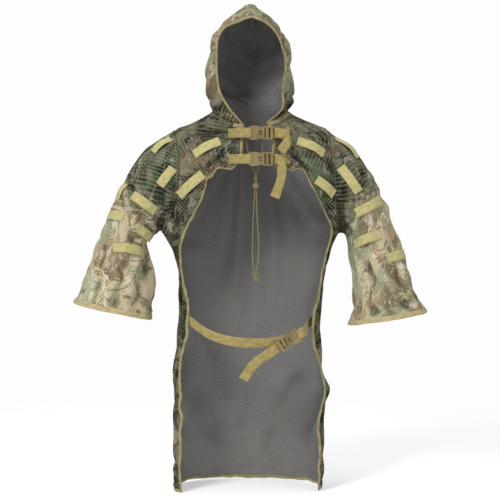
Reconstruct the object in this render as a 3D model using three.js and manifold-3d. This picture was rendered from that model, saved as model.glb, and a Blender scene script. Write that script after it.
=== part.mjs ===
// Ghillie suit jacket: a hooded mesh cape-coat with bell sleeves, a short open
// front closed by two chest buckles, a waist belt and a long back tail, covered
// with webbing loops that take foliage.
// Frame: +Z up, the open front faces -Y, +X is the wearer's left. Millimetres.
// The cloth panels are thin sheets cut from one body surface, their free edges
// are taped with a U-section binding, and each buckle is a housing, a plug and
// two spring arms.
import * as THREE from 'three';
import { mergeVertices } from 'three/addons/utils/BufferGeometryUtils.js';
import Module from 'manifold-3d';

const wasm = await Module();
wasm.setup();

// ---------------------------------------------------------------- dimensions
const RIGHT = -1;                     // the wearer's right, -X
const LEFT = 1;
const OFFSET = [0.5145, -5.2786, 2.4088];   // added to every point of the garment

const CLOTH_T = 2.0;                  // panel thickness, seam allowance included
const SEAM = 0.95;                    // half of the gap left at a seam
const TAPE_T = 1.0;                   // binding tape thickness
const TAPE_GAP = 1.2;                 // clearance between tape and panel
const EDGE_TAPE = 8.5;                // how far the edge tape laps onto a panel
const HOOD_TAPE = EDGE_TAPE + 1.5;    // the same for the hood face channel
const CUFF_TAPE = 12;                 // the same round the cuffs

const WEB = 25;                       // webbing width
const WEB_T = 1.5;                    // webbing thickness
const LOOP_T = 1.6;                   // foliage loop thickness
const LOOP_RISE = 6;                  // how far a foliage loop stands off
const ROW_RISE = 5;                   // height of a loop row between its sewn points
const SEWN_LIFT = 0.8;                // gap under webbing where it is sewn down

const BUCKLE_Z = 17.5;                // buckle half height
const BUCKLE_T = 5;                   // buckle half thickness
const HOUSING_SLOT = -12.75;          // centre of the housing's webbing slot
const PLUG_SLOT = 24;                 // centre of the plug's inner webbing slot
const WEB_LAYER = BUCKLE_T + WEB_T / 2 + 0.5;   // web centre clear of a buckle face
const CHEST_X = 14.3;                 // chest buckles and drawcord centre
const CHEST_UPPER = [CHEST_X, -116, 922];
const CHEST_LOWER = [CHEST_X, -125, 855];
const WAIST = [112, -133, 403];
const WAIST_TILT = 32 * Math.PI / 180;

const CORD_Y = -98;                   // depth of the tassel and cord lock
const CORD_R = 1.6;                   // neck drawcord radius
const STRAND_R = 1.3;                 // tassel strand radius
const STRAND_X = 2.2;                 // strand half spacing
const STRAND_TOP_Z = 814;
const LOCK_Z = 788;                   // cord lock centre
const KNOT_Z = 564;                   // lower end of the strands, in the knot

// body levels, neckline to hem:
// half width on the right, half width on the left, front depth, back depth,
// centre y, roundness exponent, z at front, z at side, z at back
const LEVELS = [
  [94, 94, 94, 92, -2, 2.0, 943, 985, 1003],
  [124, 124, 100, 106, -2, 2.0, 922, 972, 984],
  [164, 165, 106, 116, 0, 2.1, 898, 956, 955],
  [205, 210, 110, 122, 0, 2.4, 870, 938, 915],
  [214, 231, 114, 128, 0, 3.0, 800, 800, 810],
  [221, 226, 108, 130, 0, 2.8, 667, 667, 667],
  [197, 212, 100, 128, 0, 2.5, 622, 622, 622],
  [190, 196, 100, 124, 0, 2.5, 565, 565, 565],
  [182, 184, 100, 120, 0, 2.5, 494, 494, 494],
  [191, 183, 100, 126, 0, 2.5, 400, 400, 400],
  [202, 191, 100, 134, 0, 2.5, 307, 307, 307],
  [203, 208, 100, 138, 0, 2.5, 262, 262, 262],
  [201, 188, 100, 142, 0, 2.5, 180, 180, 180],
  [198, 187, 100, 145, 0, 2.5, 100, 100, 100],
  [200, 184, 100, 150, 0, 2.5, 0, 0, 0],
];
const HEM_LEVEL = LEVELS.length - 1;
const TAIL_LEVEL = 10;                // level where the tail starts
const ARM_LEVEL = 4;                  // level of the armhole's centre
const ARM_UP = 1.25;                  // armhole reach above it, in levels
const ARM_DOWN = 1;                   // and below it
const ARM_FRONT = { [RIGHT]: 25, [LEFT]: 17 };   // reach to the front, degrees
const ARM_BACK = 25;                  // reach to the back, degrees

// front edge from neck to armpit: |x|, z (neck, lapel, rounded chest corner, side)
const EDGE_TOP = {
  [RIGHT]: [[17, 943], [18, 905], [19.5, 872], [24, 849], [35, 837.5], [54, 832],
    [79, 828], [97, 815], [107, 796], [121, 757], [143, 713], [165, 670]],
  [LEFT]: [[45, 941], [58, 908], [57, 872], [59.5, 849], [71, 837], [92, 832.5],
    [118, 829], [139, 821], [150, 804], [164, 776], [185, 733], [211, 682]],
};
// front edge below the armpit: z, |x|
const EDGE_LOW = {
  [RIGHT]: [[667, 166], [650, 174], [619, 179], [563, 178], [510, 167], [478, 159.5],
    [406, 159.5], [372, 168], [343, 177], [311, 181], [255, 180], [208, 178],
    [182, 175], [150, 178], [60, 180], [0, 178]],
  [LEFT]: [[667, 213], [645, 208], [626, 203], [608, 197], [590, 191], [540, 183],
    [494, 174], [470, 168], [442, 162], [408, 163], [372, 167], [354, 173],
    [330, 179], [307, 183], [285, 190], [262, 195], [235, 192], [208, 184],
    [182, 178], [160, 176], [130, 177], [90, 179], [40, 178], [0, 176]],
};

// sleeve rings 1 to 7 (ring 0 is the armhole):
// outer |x|, z, inner |x|, z, half depth, centre y
const SLEEVE = {
  [RIGHT]: [
    [242, 915, 232, 672, 84, -2], [289, 868, 252, 663, 84, -3],
    [348, 767, 270, 647, 80, -5], [377, 705, 273, 624, 78, -8],
    [412, 616, 257, 559, 82, -10], [439, 538, 257, 494, 88, -12],
    [460, 485, 260, 440, 92, -14],
  ],
  [LEFT]: [
    [245, 911, 239, 666, 80, -2], [289, 868, 252, 660, 84, -3],
    [348, 770, 258, 630, 80, -5], [365, 714, 262, 600, 78, -8],
    [402, 621, 274, 560, 82, -10], [426, 546, 270, 500, 88, -12],
    [459, 458, 262, 426, 92, -14],
  ],
};

// hood rows from the brow down, each from face edge to centre seam: x, y, z
const HOOD = {
  [RIGHT]: [
    [[2, -66, 1222], [2, -60, 1227], [2, -54, 1232], [2, -48, 1236]],
    [[-38, -68, 1210], [-28, -38, 1240], [-14, -22, 1251], [2, -10, 1258]],
    [[-68, -70, 1192], [-70, -20, 1218], [-45, 18, 1248], [2, 40, 1262]],
    [[-82, -72, 1160], [-92, -25, 1180], [-88, 32, 1206], [-50, 74, 1220], [2, 90, 1225]],
    [[-85, -74, 1100], [-108, -30, 1105], [-112, 25, 1120], [-72, 95, 1142], [2, 118, 1150]],
    [[-78, -80, 1035], [-110, -35, 1040], [-112, 20, 1050], [-70, 88, 1062], [2, 112, 1065]],
    [[-54, -88, 989], [-95, -50, 1003], [-108, -5, 1020], [-72, 75, 1030], [1, 100, 1033]],
  ],
  [LEFT]: [
    [[2, -66, 1222], [2, -60, 1227], [2, -54, 1232], [2, -48, 1236]],
    [[35, -68, 1213], [28, -38, 1242], [15, -22, 1252], [2, -10, 1258]],
    [[64, -70, 1188], [68, -20, 1216], [44, 18, 1248], [2, 40, 1262]],
    [[80, -72, 1152], [92, -25, 1178], [88, 32, 1204], [54, 74, 1219], [2, 90, 1225]],
    [[92, -74, 1100], [105, -30, 1103], [108, 25, 1118], [76, 95, 1141], [2, 118, 1150]],
    [[84, -80, 1035], [107, -35, 1038], [110, 20, 1046], [74, 88, 1059], [2, 112, 1065]],
    [[82, -88, 985], [108, -50, 1001], [112, -5, 1017], [76, 75, 1029], [1, 100, 1033]],
  ],
};
const HOOD_LIFT = 4.6;                // hood foot above the neckline

// ---------------------------------------------------------------- materials
const cloth = (color) => ({ color, roughness: 0.9, metalness: 0 });
const plastic = (roughness) => ({ color: 0x918156, roughness, metalness: 0 });
const FINISH = {
  body: cloth(0x6d6a50),
  sleeve: cloth(0xa79e80),
  khaki: cloth(0xb7ab74),
  strap: cloth(0x97854b),
  cord: cloth(0xa59a68),
  tassel: { color: 0xa59a68, roughness: 0.8, metalness: 0 },
  buckle: plastic(0.55),
  cordLock: plastic(0.5),
  steel: { color: 0x9a9a96, roughness: 0.35, metalness: 0.9 },
};

// ---------------------------------------------------------------- vectors
const RAD = Math.PI / 180;
const UP = [0, 0, 1];
const add = (from, step, scale = 1) => [
  from[0] + step[0] * scale, from[1] + step[1] * scale, from[2] + step[2] * scale];
const sub = (to, from) => [to[0] - from[0], to[1] - from[1], to[2] - from[2]];
const mul = (vector, scale) => vector.map((v) => v * scale);
const dot = (one, two) => one[0] * two[0] + one[1] * two[1] + one[2] * two[2];
const cross = (one, two) => [
  one[1] * two[2] - one[2] * two[1],
  one[2] * two[0] - one[0] * two[2],
  one[0] * two[1] - one[1] * two[0]];
const len = (vector) => Math.hypot(...vector);
const unit = (vector) => mul(vector, 1 / (len(vector) || 1));
const mix = (from, to, part) => from.map((v, i) => v + (to[i] - v) * part);
// the part of a vector square to a unit axis, at unit length
const squareTo = (vector, axis) => unit(sub(vector, mul(axis, dot(vector, axis))));
const facing = (vector, outward) => (dot(vector, outward) < 0 ? mul(vector, -1) : vector);
const range = (count) => Array.from({ length: count }, (_, i) => i);
const clamp = (value, low, high) => Math.min(high, Math.max(low, value));
const bothSides = (build) => ({ [RIGHT]: build(RIGHT, 'right'), [LEFT]: build(LEFT, 'left') });

// Catmull-Rom through the rows of a table
function along(rows, position) {
  const last = rows.length - 1;
  const i = clamp(Math.floor(position), 0, last - 1);
  const part = clamp(position - i, 0, 1);
  const square = part * part;
  const cube = square * part;
  const [start, end] = [rows[i], rows[i + 1]];
  const before = rows[Math.max(0, i - 1)];
  const after = rows[Math.min(last, i + 2)];
  return start.map((_, k) => {
    const startSlope = (end[k] - before[k]) / 2;
    const endSlope = (after[k] - start[k]) / 2;
    return (2 * cube - 3 * square + 1) * start[k] + (cube - 2 * square + part) * startSlope
      + (3 * square - 2 * cube) * end[k] + (cube - square) * endSlope;
  });
}
// linear lookup in rows [key, value] with falling keys
function lookUp(rows, key) {
  for (let i = 0; i < rows.length - 1; i += 1) {
    const [key0, value0] = rows[i];
    const [key1, value1] = rows[i + 1];
    if (key <= key0 && key >= key1) {
      return value0 + (value1 - value0) * (key0 - key) / (key0 - key1);
    }
  }
  return key > rows[0][0] ? rows[0][1] : rows[rows.length - 1][1];
}

// ---------------------------------------------------------------- body surface
// angle: 0 at the side, +90 front centre, -90 back centre, in degrees
function torso(angle, level, side) {
  const [halfRight, halfLeft, frontDepth, backDepth, centreY, power, frontZ, sideZ, backZ]
    = along(LEVELS, level);
  const halfWidth = side === RIGHT ? halfRight : halfLeft;
  const [depth, endZ] = angle >= 0 ? [frontDepth, frontZ] : [backDepth, backZ];
  const cos = Math.cos(angle * RAD);
  const sin = Math.sin(angle * RAD);
  const radius = 1 / Math.pow(Math.pow(Math.abs(cos) / halfWidth, power)
    + Math.pow(Math.abs(sin) / depth, power), 1 / power);
  const y = centreY - radius * sin;
  const endShare = Math.pow((y - centreY) / depth, 2);
  return [side * radius * cos, y, sideZ + (endZ - sideZ) * endShare];
}
// angle that leaves half the seam gap at the side
const seamAngle = (level, side) => SEAM / along(LEVELS, level)[side === RIGHT ? 0 : 1] / RAD;

// angle of the front edge at the neckline
const neckEdgeAngle = (side) => Math.acos(EDGE_TOP[side][0][0] / LEVELS[0][0]) / RAD;

// angle of the front edge below the armpit, where every level is flat
function lowEdgeAngle(side, level) {
  const edgeX = lookUp(EDGE_LOW[side], along(LEVELS, level)[7]);
  let low = 0.5;
  let high = 89;
  for (let i = 0; i < 40; i += 1) {
    const middle = (low + high) / 2;
    if (Math.abs(torso(middle, level, side)[0]) > edgeX) low = middle;
    else high = middle;
  }
  return (low + high) / 2;
}

// torso [angle, level] on the armhole; turn: 0 top, 90 front, 180 armpit, 270 back
function armhole(turn, side) {
  const cos = Math.cos(turn * RAD);
  const sin = Math.sin(turn * RAD);
  const reach = sin >= 0 ? ARM_FRONT[side] : ARM_BACK;
  return [reach * sin, ARM_LEVEL - (cos > 0 ? ARM_UP : ARM_DOWN) * cos];
}
// turn as on the armhole, ring 0 at the armhole to 7 at the cuff
function sleeve(turn, ring, side) {
  const ringPoint = (index) => {
    if (index === 0) return torso(...armhole(turn, side), side);
    const [outerX, outerZ, innerX, innerZ, halfDepth, centreY] = SLEEVE[side][index - 1];
    const cos = Math.cos(turn * RAD);
    return [
      side * ((outerX + innerX) / 2 + (outerX - innerX) / 2 * cos),
      centreY - halfDepth * Math.sin(turn * RAD),
      (outerZ + innerZ) / 2 + (outerZ - innerZ) / 2 * cos,
    ];
  };
  const i = clamp(Math.floor(ring), 0, 6);
  const nearby = [Math.max(0, i - 1), i, i + 1, Math.min(7, i + 2)].map(ringPoint);
  return along(nearby, ring - i + 1);
}

// surface parameters of the point that lies at (x, z) seen from the front:
// a coarse grid search, then a pattern search that halves its steps
const NEIGHBOURS = [[1, 0], [-1, 0], [0, 1], [0, -1], [1, 1], [-1, -1], [1, -1], [-1, 1]];
function locate(surface, side, [x, z], [firstMin, firstMax], [secondMin, secondMax]) {
  const GRID = 40;
  let firstStep = (firstMax - firstMin) / GRID;
  let secondStep = (secondMax - secondMin) / GRID;
  let best = [0, 0];
  let bestMiss = Infinity;
  const improves = (first, second) => {
    const point = surface(first, second, side);
    const miss = Math.hypot(point[0] - x, point[2] - z);
    if (miss >= bestMiss) return false;
    best = [first, second];
    bestMiss = miss;
    return true;
  };
  for (let i = 0; i <= GRID; i += 1) {
    for (let j = 0; j <= GRID; j += 1) improves(firstMin + firstStep * i, secondMin + secondStep * j);
  }
  for (let k = 0; k < 40; k += 1) {
    let improved = false;
    for (const [i, j] of NEIGHBOURS) {
      const first = clamp(best[0] + i * firstStep, firstMin, firstMax);
      const second = clamp(best[1] + j * secondStep, secondMin, secondMax);
      if (improves(first, second)) improved = true;
    }
    if (!improved) {
      firstStep /= 2;
      secondStep /= 2;
    }
  }
  return best;
}
const onTorso = (side, point) => locate(torso, side, point, [0, 89.5], [0, 10]);
const onSleeve = (side, point) => locate(sleeve, side, point, [4, 176], [0.15, 7]);

// ---------------------------------------------------------------- mesh tools
const group = new THREE.Group();

// flat index list with every triangle turned so that the volume is positive
function outwardIndex(positions, triangles) {
  let volume = 0;
  for (const [a, b, c] of triangles) {
    volume += dot(positions[a], cross(positions[b], positions[c]));
  }
  return triangles.flatMap(([a, b, c]) => (volume > 0 ? [a, b, c] : [a, c, b]));
}
function emit(name, positions, triangles, finish) {
  const geometry = new THREE.BufferGeometry();
  geometry.setAttribute('position', new THREE.Float32BufferAttribute(
    positions.flatMap((point) => add(point, OFFSET)), 3));
  geometry.setIndex(outwardIndex(positions, triangles));
  geometry.computeVertexNormals();
  const mesh = new THREE.Mesh(geometry, new THREE.MeshStandardMaterial(finish));
  mesh.name = name;
  group.add(mesh);
}

// normals of a grid of points, turned to the outer side
function gridNormals(grid, wrap, outward) {
  const lastRow = grid.length - 1;
  const cols = grid[0].length;
  let score = 0;
  const normals = grid.map((row, i) => row.map((point, j) => {
    const down = sub(grid[Math.min(lastRow, i + 1)][j], grid[Math.max(0, i - 1)][j]);
    const next = wrap ? (j + 1) % cols : Math.min(cols - 1, j + 1);
    const prev = wrap ? (j - 1 + cols) % cols : Math.max(0, j - 1);
    const normal = unit(cross(down, sub(row[next], row[prev])));
    score += dot(normal, outward(point));
    return normal;
  }));
  return score < 0 ? normals.map((row) => row.map((normal) => mul(normal, -1))) : normals;
}
// a sheet of cloth: the grid is its outer face; wrap closes it into a tube.
// Returns the grid, its normals and the facets of the outer face.
function sheet(name, grid, wrap, outward, finish) {
  const rows = grid.length;
  const cols = grid[0].length;
  const normals = gridNormals(grid, wrap, outward);
  const inner = grid.map((row, i) => row.map((point, j) => add(point, normals[i][j], -CLOTH_T)));
  const positions = [...grid.flat(), ...inner.flat()];
  const id = (layer, i, j) => layer * rows * cols + i * cols + (j % cols);
  const triangles = [];
  const faces = [];
  const quad = (a, b, c, d) => triangles.push([a, b, c], [a, c, d]);
  const spans = wrap ? cols : cols - 1;
  for (let i = 0; i < rows - 1; i += 1) {
    for (let j = 0; j < spans; j += 1) {
      quad(id(0, i, j), id(0, i + 1, j), id(0, i + 1, j + 1), id(0, i, j + 1));
      faces.push(...triangles.slice(-2).map((corners) => corners.map((k) => positions[k])));
      quad(id(1, i, j), id(1, i, j + 1), id(1, i + 1, j + 1), id(1, i + 1, j));
    }
  }
  const end = rows - 1;
  for (let j = 0; j < spans; j += 1) {
    quad(id(0, 0, j), id(0, 0, j + 1), id(1, 0, j + 1), id(1, 0, j));
    quad(id(0, end, j + 1), id(0, end, j), id(1, end, j), id(1, end, j + 1));
  }
  if (!wrap) {
    for (let i = 0; i < end; i += 1) {
      quad(id(0, i + 1, 0), id(0, i, 0), id(1, i, 0), id(1, i + 1, 0));
      quad(id(0, i, spans), id(0, i + 1, spans), id(1, i + 1, spans), id(1, i, spans));
    }
  }
  emit(name, positions, triangles, finish);
  return { grid, normals, faces };
}

// closed polygon sections joined in order; capQuads list the corners of the end
// caps, and a closed loft joins its last section to its first instead
function loft(sections, closed, capQuads) {
  const sides = sections[0].length;
  const count = sections.length;
  const triangles = [];
  for (let i = 0; i < (closed ? count : count - 1); i += 1) {
    const here = i * sides;
    const next = ((i + 1) % count) * sides;
    for (let k = 0; k < sides; k += 1) {
      const l = (k + 1) % sides;
      triangles.push([here + k, here + l, next + l], [here + k, next + l, next + k]);
    }
  }
  if (!closed) {
    const end = (count - 1) * sides;
    for (const [a, b, c, d] of capQuads) {
      triangles.push([a, c, b], [a, d, c]);
      triangles.push([end + a, end + b, end + c], [end + a, end + c, end + d]);
    }
  }
  return [sections.flat(), triangles];
}
// tangent at a path point, and how far the section widens across the mitre there
function pathFrame(points, i, minCos, closed = false) {
  const count = points.length;
  const prev = closed || i > 0 ? unit(sub(points[i], points[(i - 1 + count) % count])) : null;
  const next = closed || i < count - 1 ? unit(sub(points[(i + 1) % count], points[i])) : null;
  const tangent = unit(prev && next ? add(prev, next) : prev || next);
  return { tangent, mitre: 1 / clamp(dot(tangent, prev || tangent), minCos, 1) };
}

// height of the cloth over a point along the normal, -Infinity where there is none
const CAST_REACH = 60;
function clothHeight(faces, point, normal) {
  const origin = add(point, normal, CAST_REACH);
  const ray = mul(normal, -1);
  let height = -Infinity;
  for (const [corner, second, third] of faces) {
    const edge1 = sub(second, corner);
    const edge2 = sub(third, corner);
    const rayCross = cross(ray, edge2);
    const det = dot(edge1, rayCross);
    if (Math.abs(det) < 1e-9) continue;
    const toOrigin = sub(origin, corner);
    const share1 = dot(toOrigin, rayCross) / det;
    if (share1 < -1e-6 || share1 > 1.000001) continue;
    const originCross = cross(toOrigin, edge1);
    const share2 = dot(ray, originCross) / det;
    if (share2 < -1e-6 || share1 + share2 > 1.000001) continue;
    const distance = dot(edge2, originCross) / det;
    if (distance > 0 && distance < 2 * CAST_REACH) {
      height = Math.max(height, CAST_REACH - distance);
    }
  }
  return height;
}
// highest cloth under a strap of the given width, 0 where there is none
function heightUnder(faces, point, normal, across, width) {
  const heights = [-0.5, -0.25, 0, 0.25, 0.5].map(
    (share) => clothHeight(faces, add(point, across, share * width), normal));
  const highest = Math.max(...heights);
  return Number.isFinite(highest) ? highest : 0;
}
// raise both ends of every span of a strap that dips into the cloth;
// shortfall(i, part) is how much is missing at that part of span i
function liftClear(heights, passes, parts, shortfall) {
  for (let pass = 0; pass < passes; pass += 1) {
    for (let i = 0; i < heights.length - 1; i += 1) {
      for (let k = 1; k < parts; k += 1) {
        const missing = shortfall(i, k / parts);
        if (missing > 0) {
          heights[i] += missing;
          heights[i + 1] += missing;
        }
      }
    }
  }
}

// U-section tape along an edge: stations {point, normal, inward}, inward pointing
// into the panel; an open tape's end sections lie along the panel's end.
// slack adds to the tape's clearance.
function tape(name, stations, faces, { width = EDGE_TAPE, closed = false, slack = 0 } = {}) {
  const count = stations.length;
  const gap = TAPE_GAP + slack;
  const path = stations.map(({ point }) => point);
  const frames = stations.map(({ point, normal: clothNormal, inward }, i) => {
    const { tangent, mitre } = pathFrame(path, i, 0.55, closed);
    let stretch = mitre;
    let lap = squareTo(inward, tangent);
    if (!closed && (i === 0 || i === count - 1)) {
      stretch = 1 / Math.max(0.55, dot(unit(inward), lap));
      lap = unit(inward);
    }
    let normal = squareTo(clothNormal, lap);
    const height = clothHeight(faces, add(point, lap, width * stretch), normal);
    if (Math.abs(height) < width) {
      lap = unit(add(mul(lap, width * stretch), normal, height));
      normal = squareTo(normal, lap);
    }
    return { point, lap, normal, stretch, above: gap, below: gap };
  });
  // open the tape where the cloth bows between two stations
  for (let i = 0; i < (closed ? count : count - 1); i += 1) {
    const here = frames[i];
    const next = frames[(i + 1) % count];
    for (const part of [0.1, 0.2, 0.3, 0.4, 0.5, 0.6, 0.7, 0.8, 0.9]) {
      for (const reach of [width * 0.33, width * 0.66, width]) {
        const probe = mix(add(here.point, here.lap, reach * here.stretch),
          add(next.point, next.lap, reach * next.stretch), part);
        const height = clothHeight(faces, probe, unit(mix(here.normal, next.normal, part)));
        if (Math.abs(height) > width) continue;
        for (const frame of [here, next]) {
          frame.above = Math.max(frame.above, height + 0.9);
          frame.below = Math.max(frame.below, 0.9 - height);
        }
      }
    }
  }
  const sections = frames.map(({ point, lap, normal, stretch, above, below }) => {
    const under = -CLOTH_T - below;
    return [
      [width, above + TAPE_T], [-gap - TAPE_T, above + TAPE_T],
      [-gap - TAPE_T, under - TAPE_T], [width, under - TAPE_T],
      [width, under], [-gap, under], [-gap, above], [width, above],
    ].map(([inwards, up]) => add(add(point, lap, inwards * stretch), normal, up));
  });
  emit(name, ...loft(sections, closed, [[0, 1, 6, 7], [1, 2, 5, 6], [2, 3, 4, 5]]), FINISH.khaki);
}

// rectangular webbing section round a point
function webSection(point, across, normal, halfThick) {
  const half = WEB / 2;
  return [[half, halfThick], [-half, halfThick], [-half, -halfThick], [half, -halfThick]]
    .map(([side, up]) => add(add(point, across, side), normal, up));
}
// flat webbing along a path; acrossAt(i) is the width direction at point i
function ribbon(name, points, finish, acrossAt = () => UP) {
  const sections = points.map((point, i) => {
    const { tangent, mitre } = pathFrame(points, i, 0.45);
    const across = squareTo(acrossAt(i), tangent);
    return webSection(point, across, unit(cross(tangent, across)), WEB_T / 2 * mitre);
  });
  emit(name, ...loft(sections, false, [[0, 1, 2, 3]]), finish);
}
function tube(points, radius, sides) {
  const sections = points.map((point, i) => {
    const { tangent, mitre } = pathFrame(points, i, 0.7);
    const first = squareTo([0, 1, 0], tangent);
    const second = cross(tangent, first);
    return range(sides).map((j) => {
      const turn = 2 * Math.PI * (j + 0.5) / sides;
      return add(add(point, first, radius * Math.cos(turn)), second,
        radius * mitre * Math.sin(turn));
    });
  });
  // with an odd number of sides the last cap quad folds to a triangle
  const caps = [];
  for (let k = 1; k < sides - 1; k += 2) caps.push([0, k, k + 1, Math.min(k + 2, sides - 1)]);
  return loft(sections, false, caps);
}

// ---------------------------------------------------------------- solid tools
function solid(geometry) {
  for (const key of Object.keys(geometry.attributes)) {
    if (key !== 'position') geometry.deleteAttribute(key);
  }
  const merged = mergeVertices(geometry, 1e-4);
  return new wasm.Manifold(new wasm.Mesh({
    numProp: 3,
    vertProperties: new Float32Array(merged.attributes.position.array),
    triVerts: new Uint32Array(merged.index.array),
  }));
}
function tubeSolid(points, radius, sides) {
  const [positions, triangles] = tube(points, radius, sides);
  const real = triangles.filter(([a, b, c]) => a !== b && b !== c && a !== c);
  const geometry = new THREE.BufferGeometry();
  geometry.setAttribute('position', new THREE.Float32BufferAttribute(positions.flat(), 3));
  geometry.setIndex(outwardIndex(positions, real));
  return solid(geometry);
}
const box = (x0, x1, y0, y1, z0, z1) => solid(new THREE.BoxGeometry(x1 - x0, y1 - y0, z1 - z0)
  .translate((x0 + x1) / 2, (y0 + y1) / 2, (z0 + z1) / 2));
// x, z outline, thick about y = 0
function plate(outline, halfThick) {
  const shape = new THREE.Shape(outline.map(([x, z]) => new THREE.Vector2(x, z)));
  const geometry = new THREE.ExtrudeGeometry(shape, { depth: 2 * halfThick, bevelEnabled: false });
  return solid(geometry.rotateX(Math.PI / 2).translate(0, halfThick, 0));
}
const rod = (radius, y0, y1, segments) => solid(
  new THREE.CylinderGeometry(radius, radius, y1 - y0, segments).translate(0, (y0 + y1) / 2, 0));

// local frame turned about the y axis; local +y points back to the wearer
const frameAt = (origin, tilt = 0) => ({
  origin,
  x: [Math.cos(tilt), 0, Math.sin(tilt)],
  y: [0, 1, 0],
  z: [-Math.sin(tilt), 0, Math.cos(tilt)],
});
const inFrame = (frame, x, y, z = 0) => add(
  add(add(frame.origin, frame.x, x), frame.y, y), frame.z, z);
// carry a local solid into the garment
function place(name, manifold, frame, finish) {
  const { vertProperties, triVerts } = manifold.getMesh();
  const triples = (list) => range(list.length / 3).map((i) => [...list.slice(3 * i, 3 * i + 3)]);
  emit(name, triples(vertProperties).map((local) => inFrame(frame, ...local)),
    triples(triVerts), finish);
}

// ---------------------------------------------------------------- panels
const fromAxis = (point) => [point[0], point[1], 0];
const ARM_TURNS = [0, 22.5, 45, 67.5, 90, 112.5, 135, 157.5, 180];
const NECK_ROWS = [[0, 0], [0, 1], [0, 2]];          // torso angle, level
const SIDE_ROWS = [5.5, 6, 6.6, 7.2, 8, 8.8, 9.4, TAIL_LEVEL].map((level) => [0, level]);

// front panel: from the front edge to the side seam and armhole
const FRONT_COLS = 8;
function frontGrid(side) {
  const outer = [...NECK_ROWS, ...ARM_TURNS.map((turn) => armhole(turn, side)), ...SIDE_ROWS];
  return outer.map(([angle, level], i) => {
    const end = [Math.max(angle, seamAngle(level, side)), level];
    let edge = [neckEdgeAngle(side), 0];
    if (i >= EDGE_TOP[side].length) {
      edge = [lowEdgeAngle(side, level), level];
    } else if (i > 0) {
      const [x, z] = EDGE_TOP[side][i];
      edge = onTorso(side, [side * x, z]);
    }
    return range(FRONT_COLS + 1).map(
      (j) => torso(...mix(edge, end, Math.pow(j / FRONT_COLS, 0.9)), side));
  });
}
const fronts = bothSides((side, word) => sheet(
  `front_panel_${word}`, frontGrid(side), false, fromAxis, FINISH.body));

// one row from the right round the back to the left, cols steps on each side
function aroundBack(level, cols, startAngle, pointAt = torso) {
  const half = (side) => {
    const start = startAngle(side);
    return range(cols).map((j) => pointAt(start + (-90 - start) * j / cols, level, side));
  };
  return [...half(RIGHT), pointAt(-90, level, LEFT), ...half(LEFT).reverse()];
}
// back panel: side seam to side seam; the back of both armholes is the same
const backOuter = [...NECK_ROWS, ...ARM_TURNS.map((turn) => armhole(360 - turn, LEFT)),
  ...SIDE_ROWS];
const backGrid = backOuter.map(([angle, level]) => aroundBack(
  level, 9, (side) => Math.min(angle, -seamAngle(level, side))));
const back = sheet('back_panel', backGrid, false, fromAxis, FINISH.body);

// tail: below the waist, wrapping forward to both front edges
const tailGrid = [TAIL_LEVEL + 0.045, 10.5, 11, 11.5, 12.2, 13, HEM_LEVEL].map(
  (level) => aroundBack(level, 13, (side) => lowEdgeAngle(side, level)));
const tail = sheet('tail_panel', tailGrid, false, fromAxis, FINISH.body);

// sleeves: rings from the armhole, set off by a small gap, to the cuff
const SLEEVE_RINGS = [0, 0.45, 1, 1.5, 2, 3, 4, 5, 6, 7];
const SLEEVE_SIDES = 16;
const ARMHOLE_GAP = 2.4;
const sleeveGrid = (side) => SLEEVE_RINGS.map((ring) => range(SLEEVE_SIDES).map((j) => {
  const turn = 360 * j / SLEEVE_SIDES;
  const point = sleeve(turn, ring, side);
  if (ring > 0) return point;
  return add(point, unit(sub(sleeve(turn, SLEEVE_RINGS[1], side), point)), ARMHOLE_GAP);
}));
// level direction away from the sleeve's rough centre line
const fromSleeveAxis = (side) => (point) => {
  const [outerX, , innerX, , , centreY] = along(
    SLEEVE[side], clamp((940 - point[2]) / 70 - 1, 0, 5.9));
  return unit(sub(point, [side * (outerX + innerX) / 2, centreY, point[2]]));
};
const sleeves = bothSides((side, word) => sheet(
  `sleeve_${word}`, sleeveGrid(side), true, fromSleeveAxis(side), FINISH.sleeve));

// hood halves, split by the centre seam
const HOOD_COLS = 7;
const HOOD_ROWS = [0, 0.5, 1, 1.5, 2, 2.6, 3.2, 4, 4.6, 5.2, 5.7, 6.1, 6.55, 7];
function hoodGrid(side) {
  const edge = neckEdgeAngle(side);
  const foot = range(5).map(
    (k) => add(torso(edge + (-90 - edge) * k / 4, 0, side), [0, 0, HOOD_LIFT]));
  const rows = [...HOOD[side], foot].map(
    (row) => range(9).map((j) => along(row, (row.length - 1) * j / 8)));
  return HOOD_ROWS.map((position) => range(HOOD_COLS + 1).map((j) => {
    const column = 8 * j / HOOD_COLS;
    const i = Math.min(7, Math.floor(column));
    const [low, high] = [i, i + 1].map((k) => along(rows.map((row) => row[k]), position));
    // stand clear of the centre seam and of the other half at the brow
    const seamShare = clamp(1 - (HOOD_COLS - j) / 2, 0, 1);
    const browShare = Math.max(0, 1 - position);
    return add(mix(low, high, column - i), [side * SEAM * Math.max(seamShare, browShare), 0, 0]);
  }));
}
const fromHoodCentre = (point) => unit(sub(point, [0, 10, 1100]));
const hoods = bothSides((side, word) => sheet(
  `hood_panel_${word}`, hoodGrid(side), false, fromHoodCentre, FINISH.body));
const hoodFaces = [...hoods[RIGHT].faces, ...hoods[LEFT].faces];

// ---------------------------------------------------------------- bindings
// tape stations along a column or row, with the neighbour that lies inside it
const columnEdge = ({ grid, normals }, j, inner) => grid.map((row, i) => ({
  point: row[j], normal: normals[i][j], inward: sub(row[inner], row[j]),
}));
const rowEdge = ({ grid, normals }, i, inner) => grid[i].map((point, j) => ({
  point, normal: normals[i][j], inward: sub(grid[inner][j], point),
}));

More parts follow.
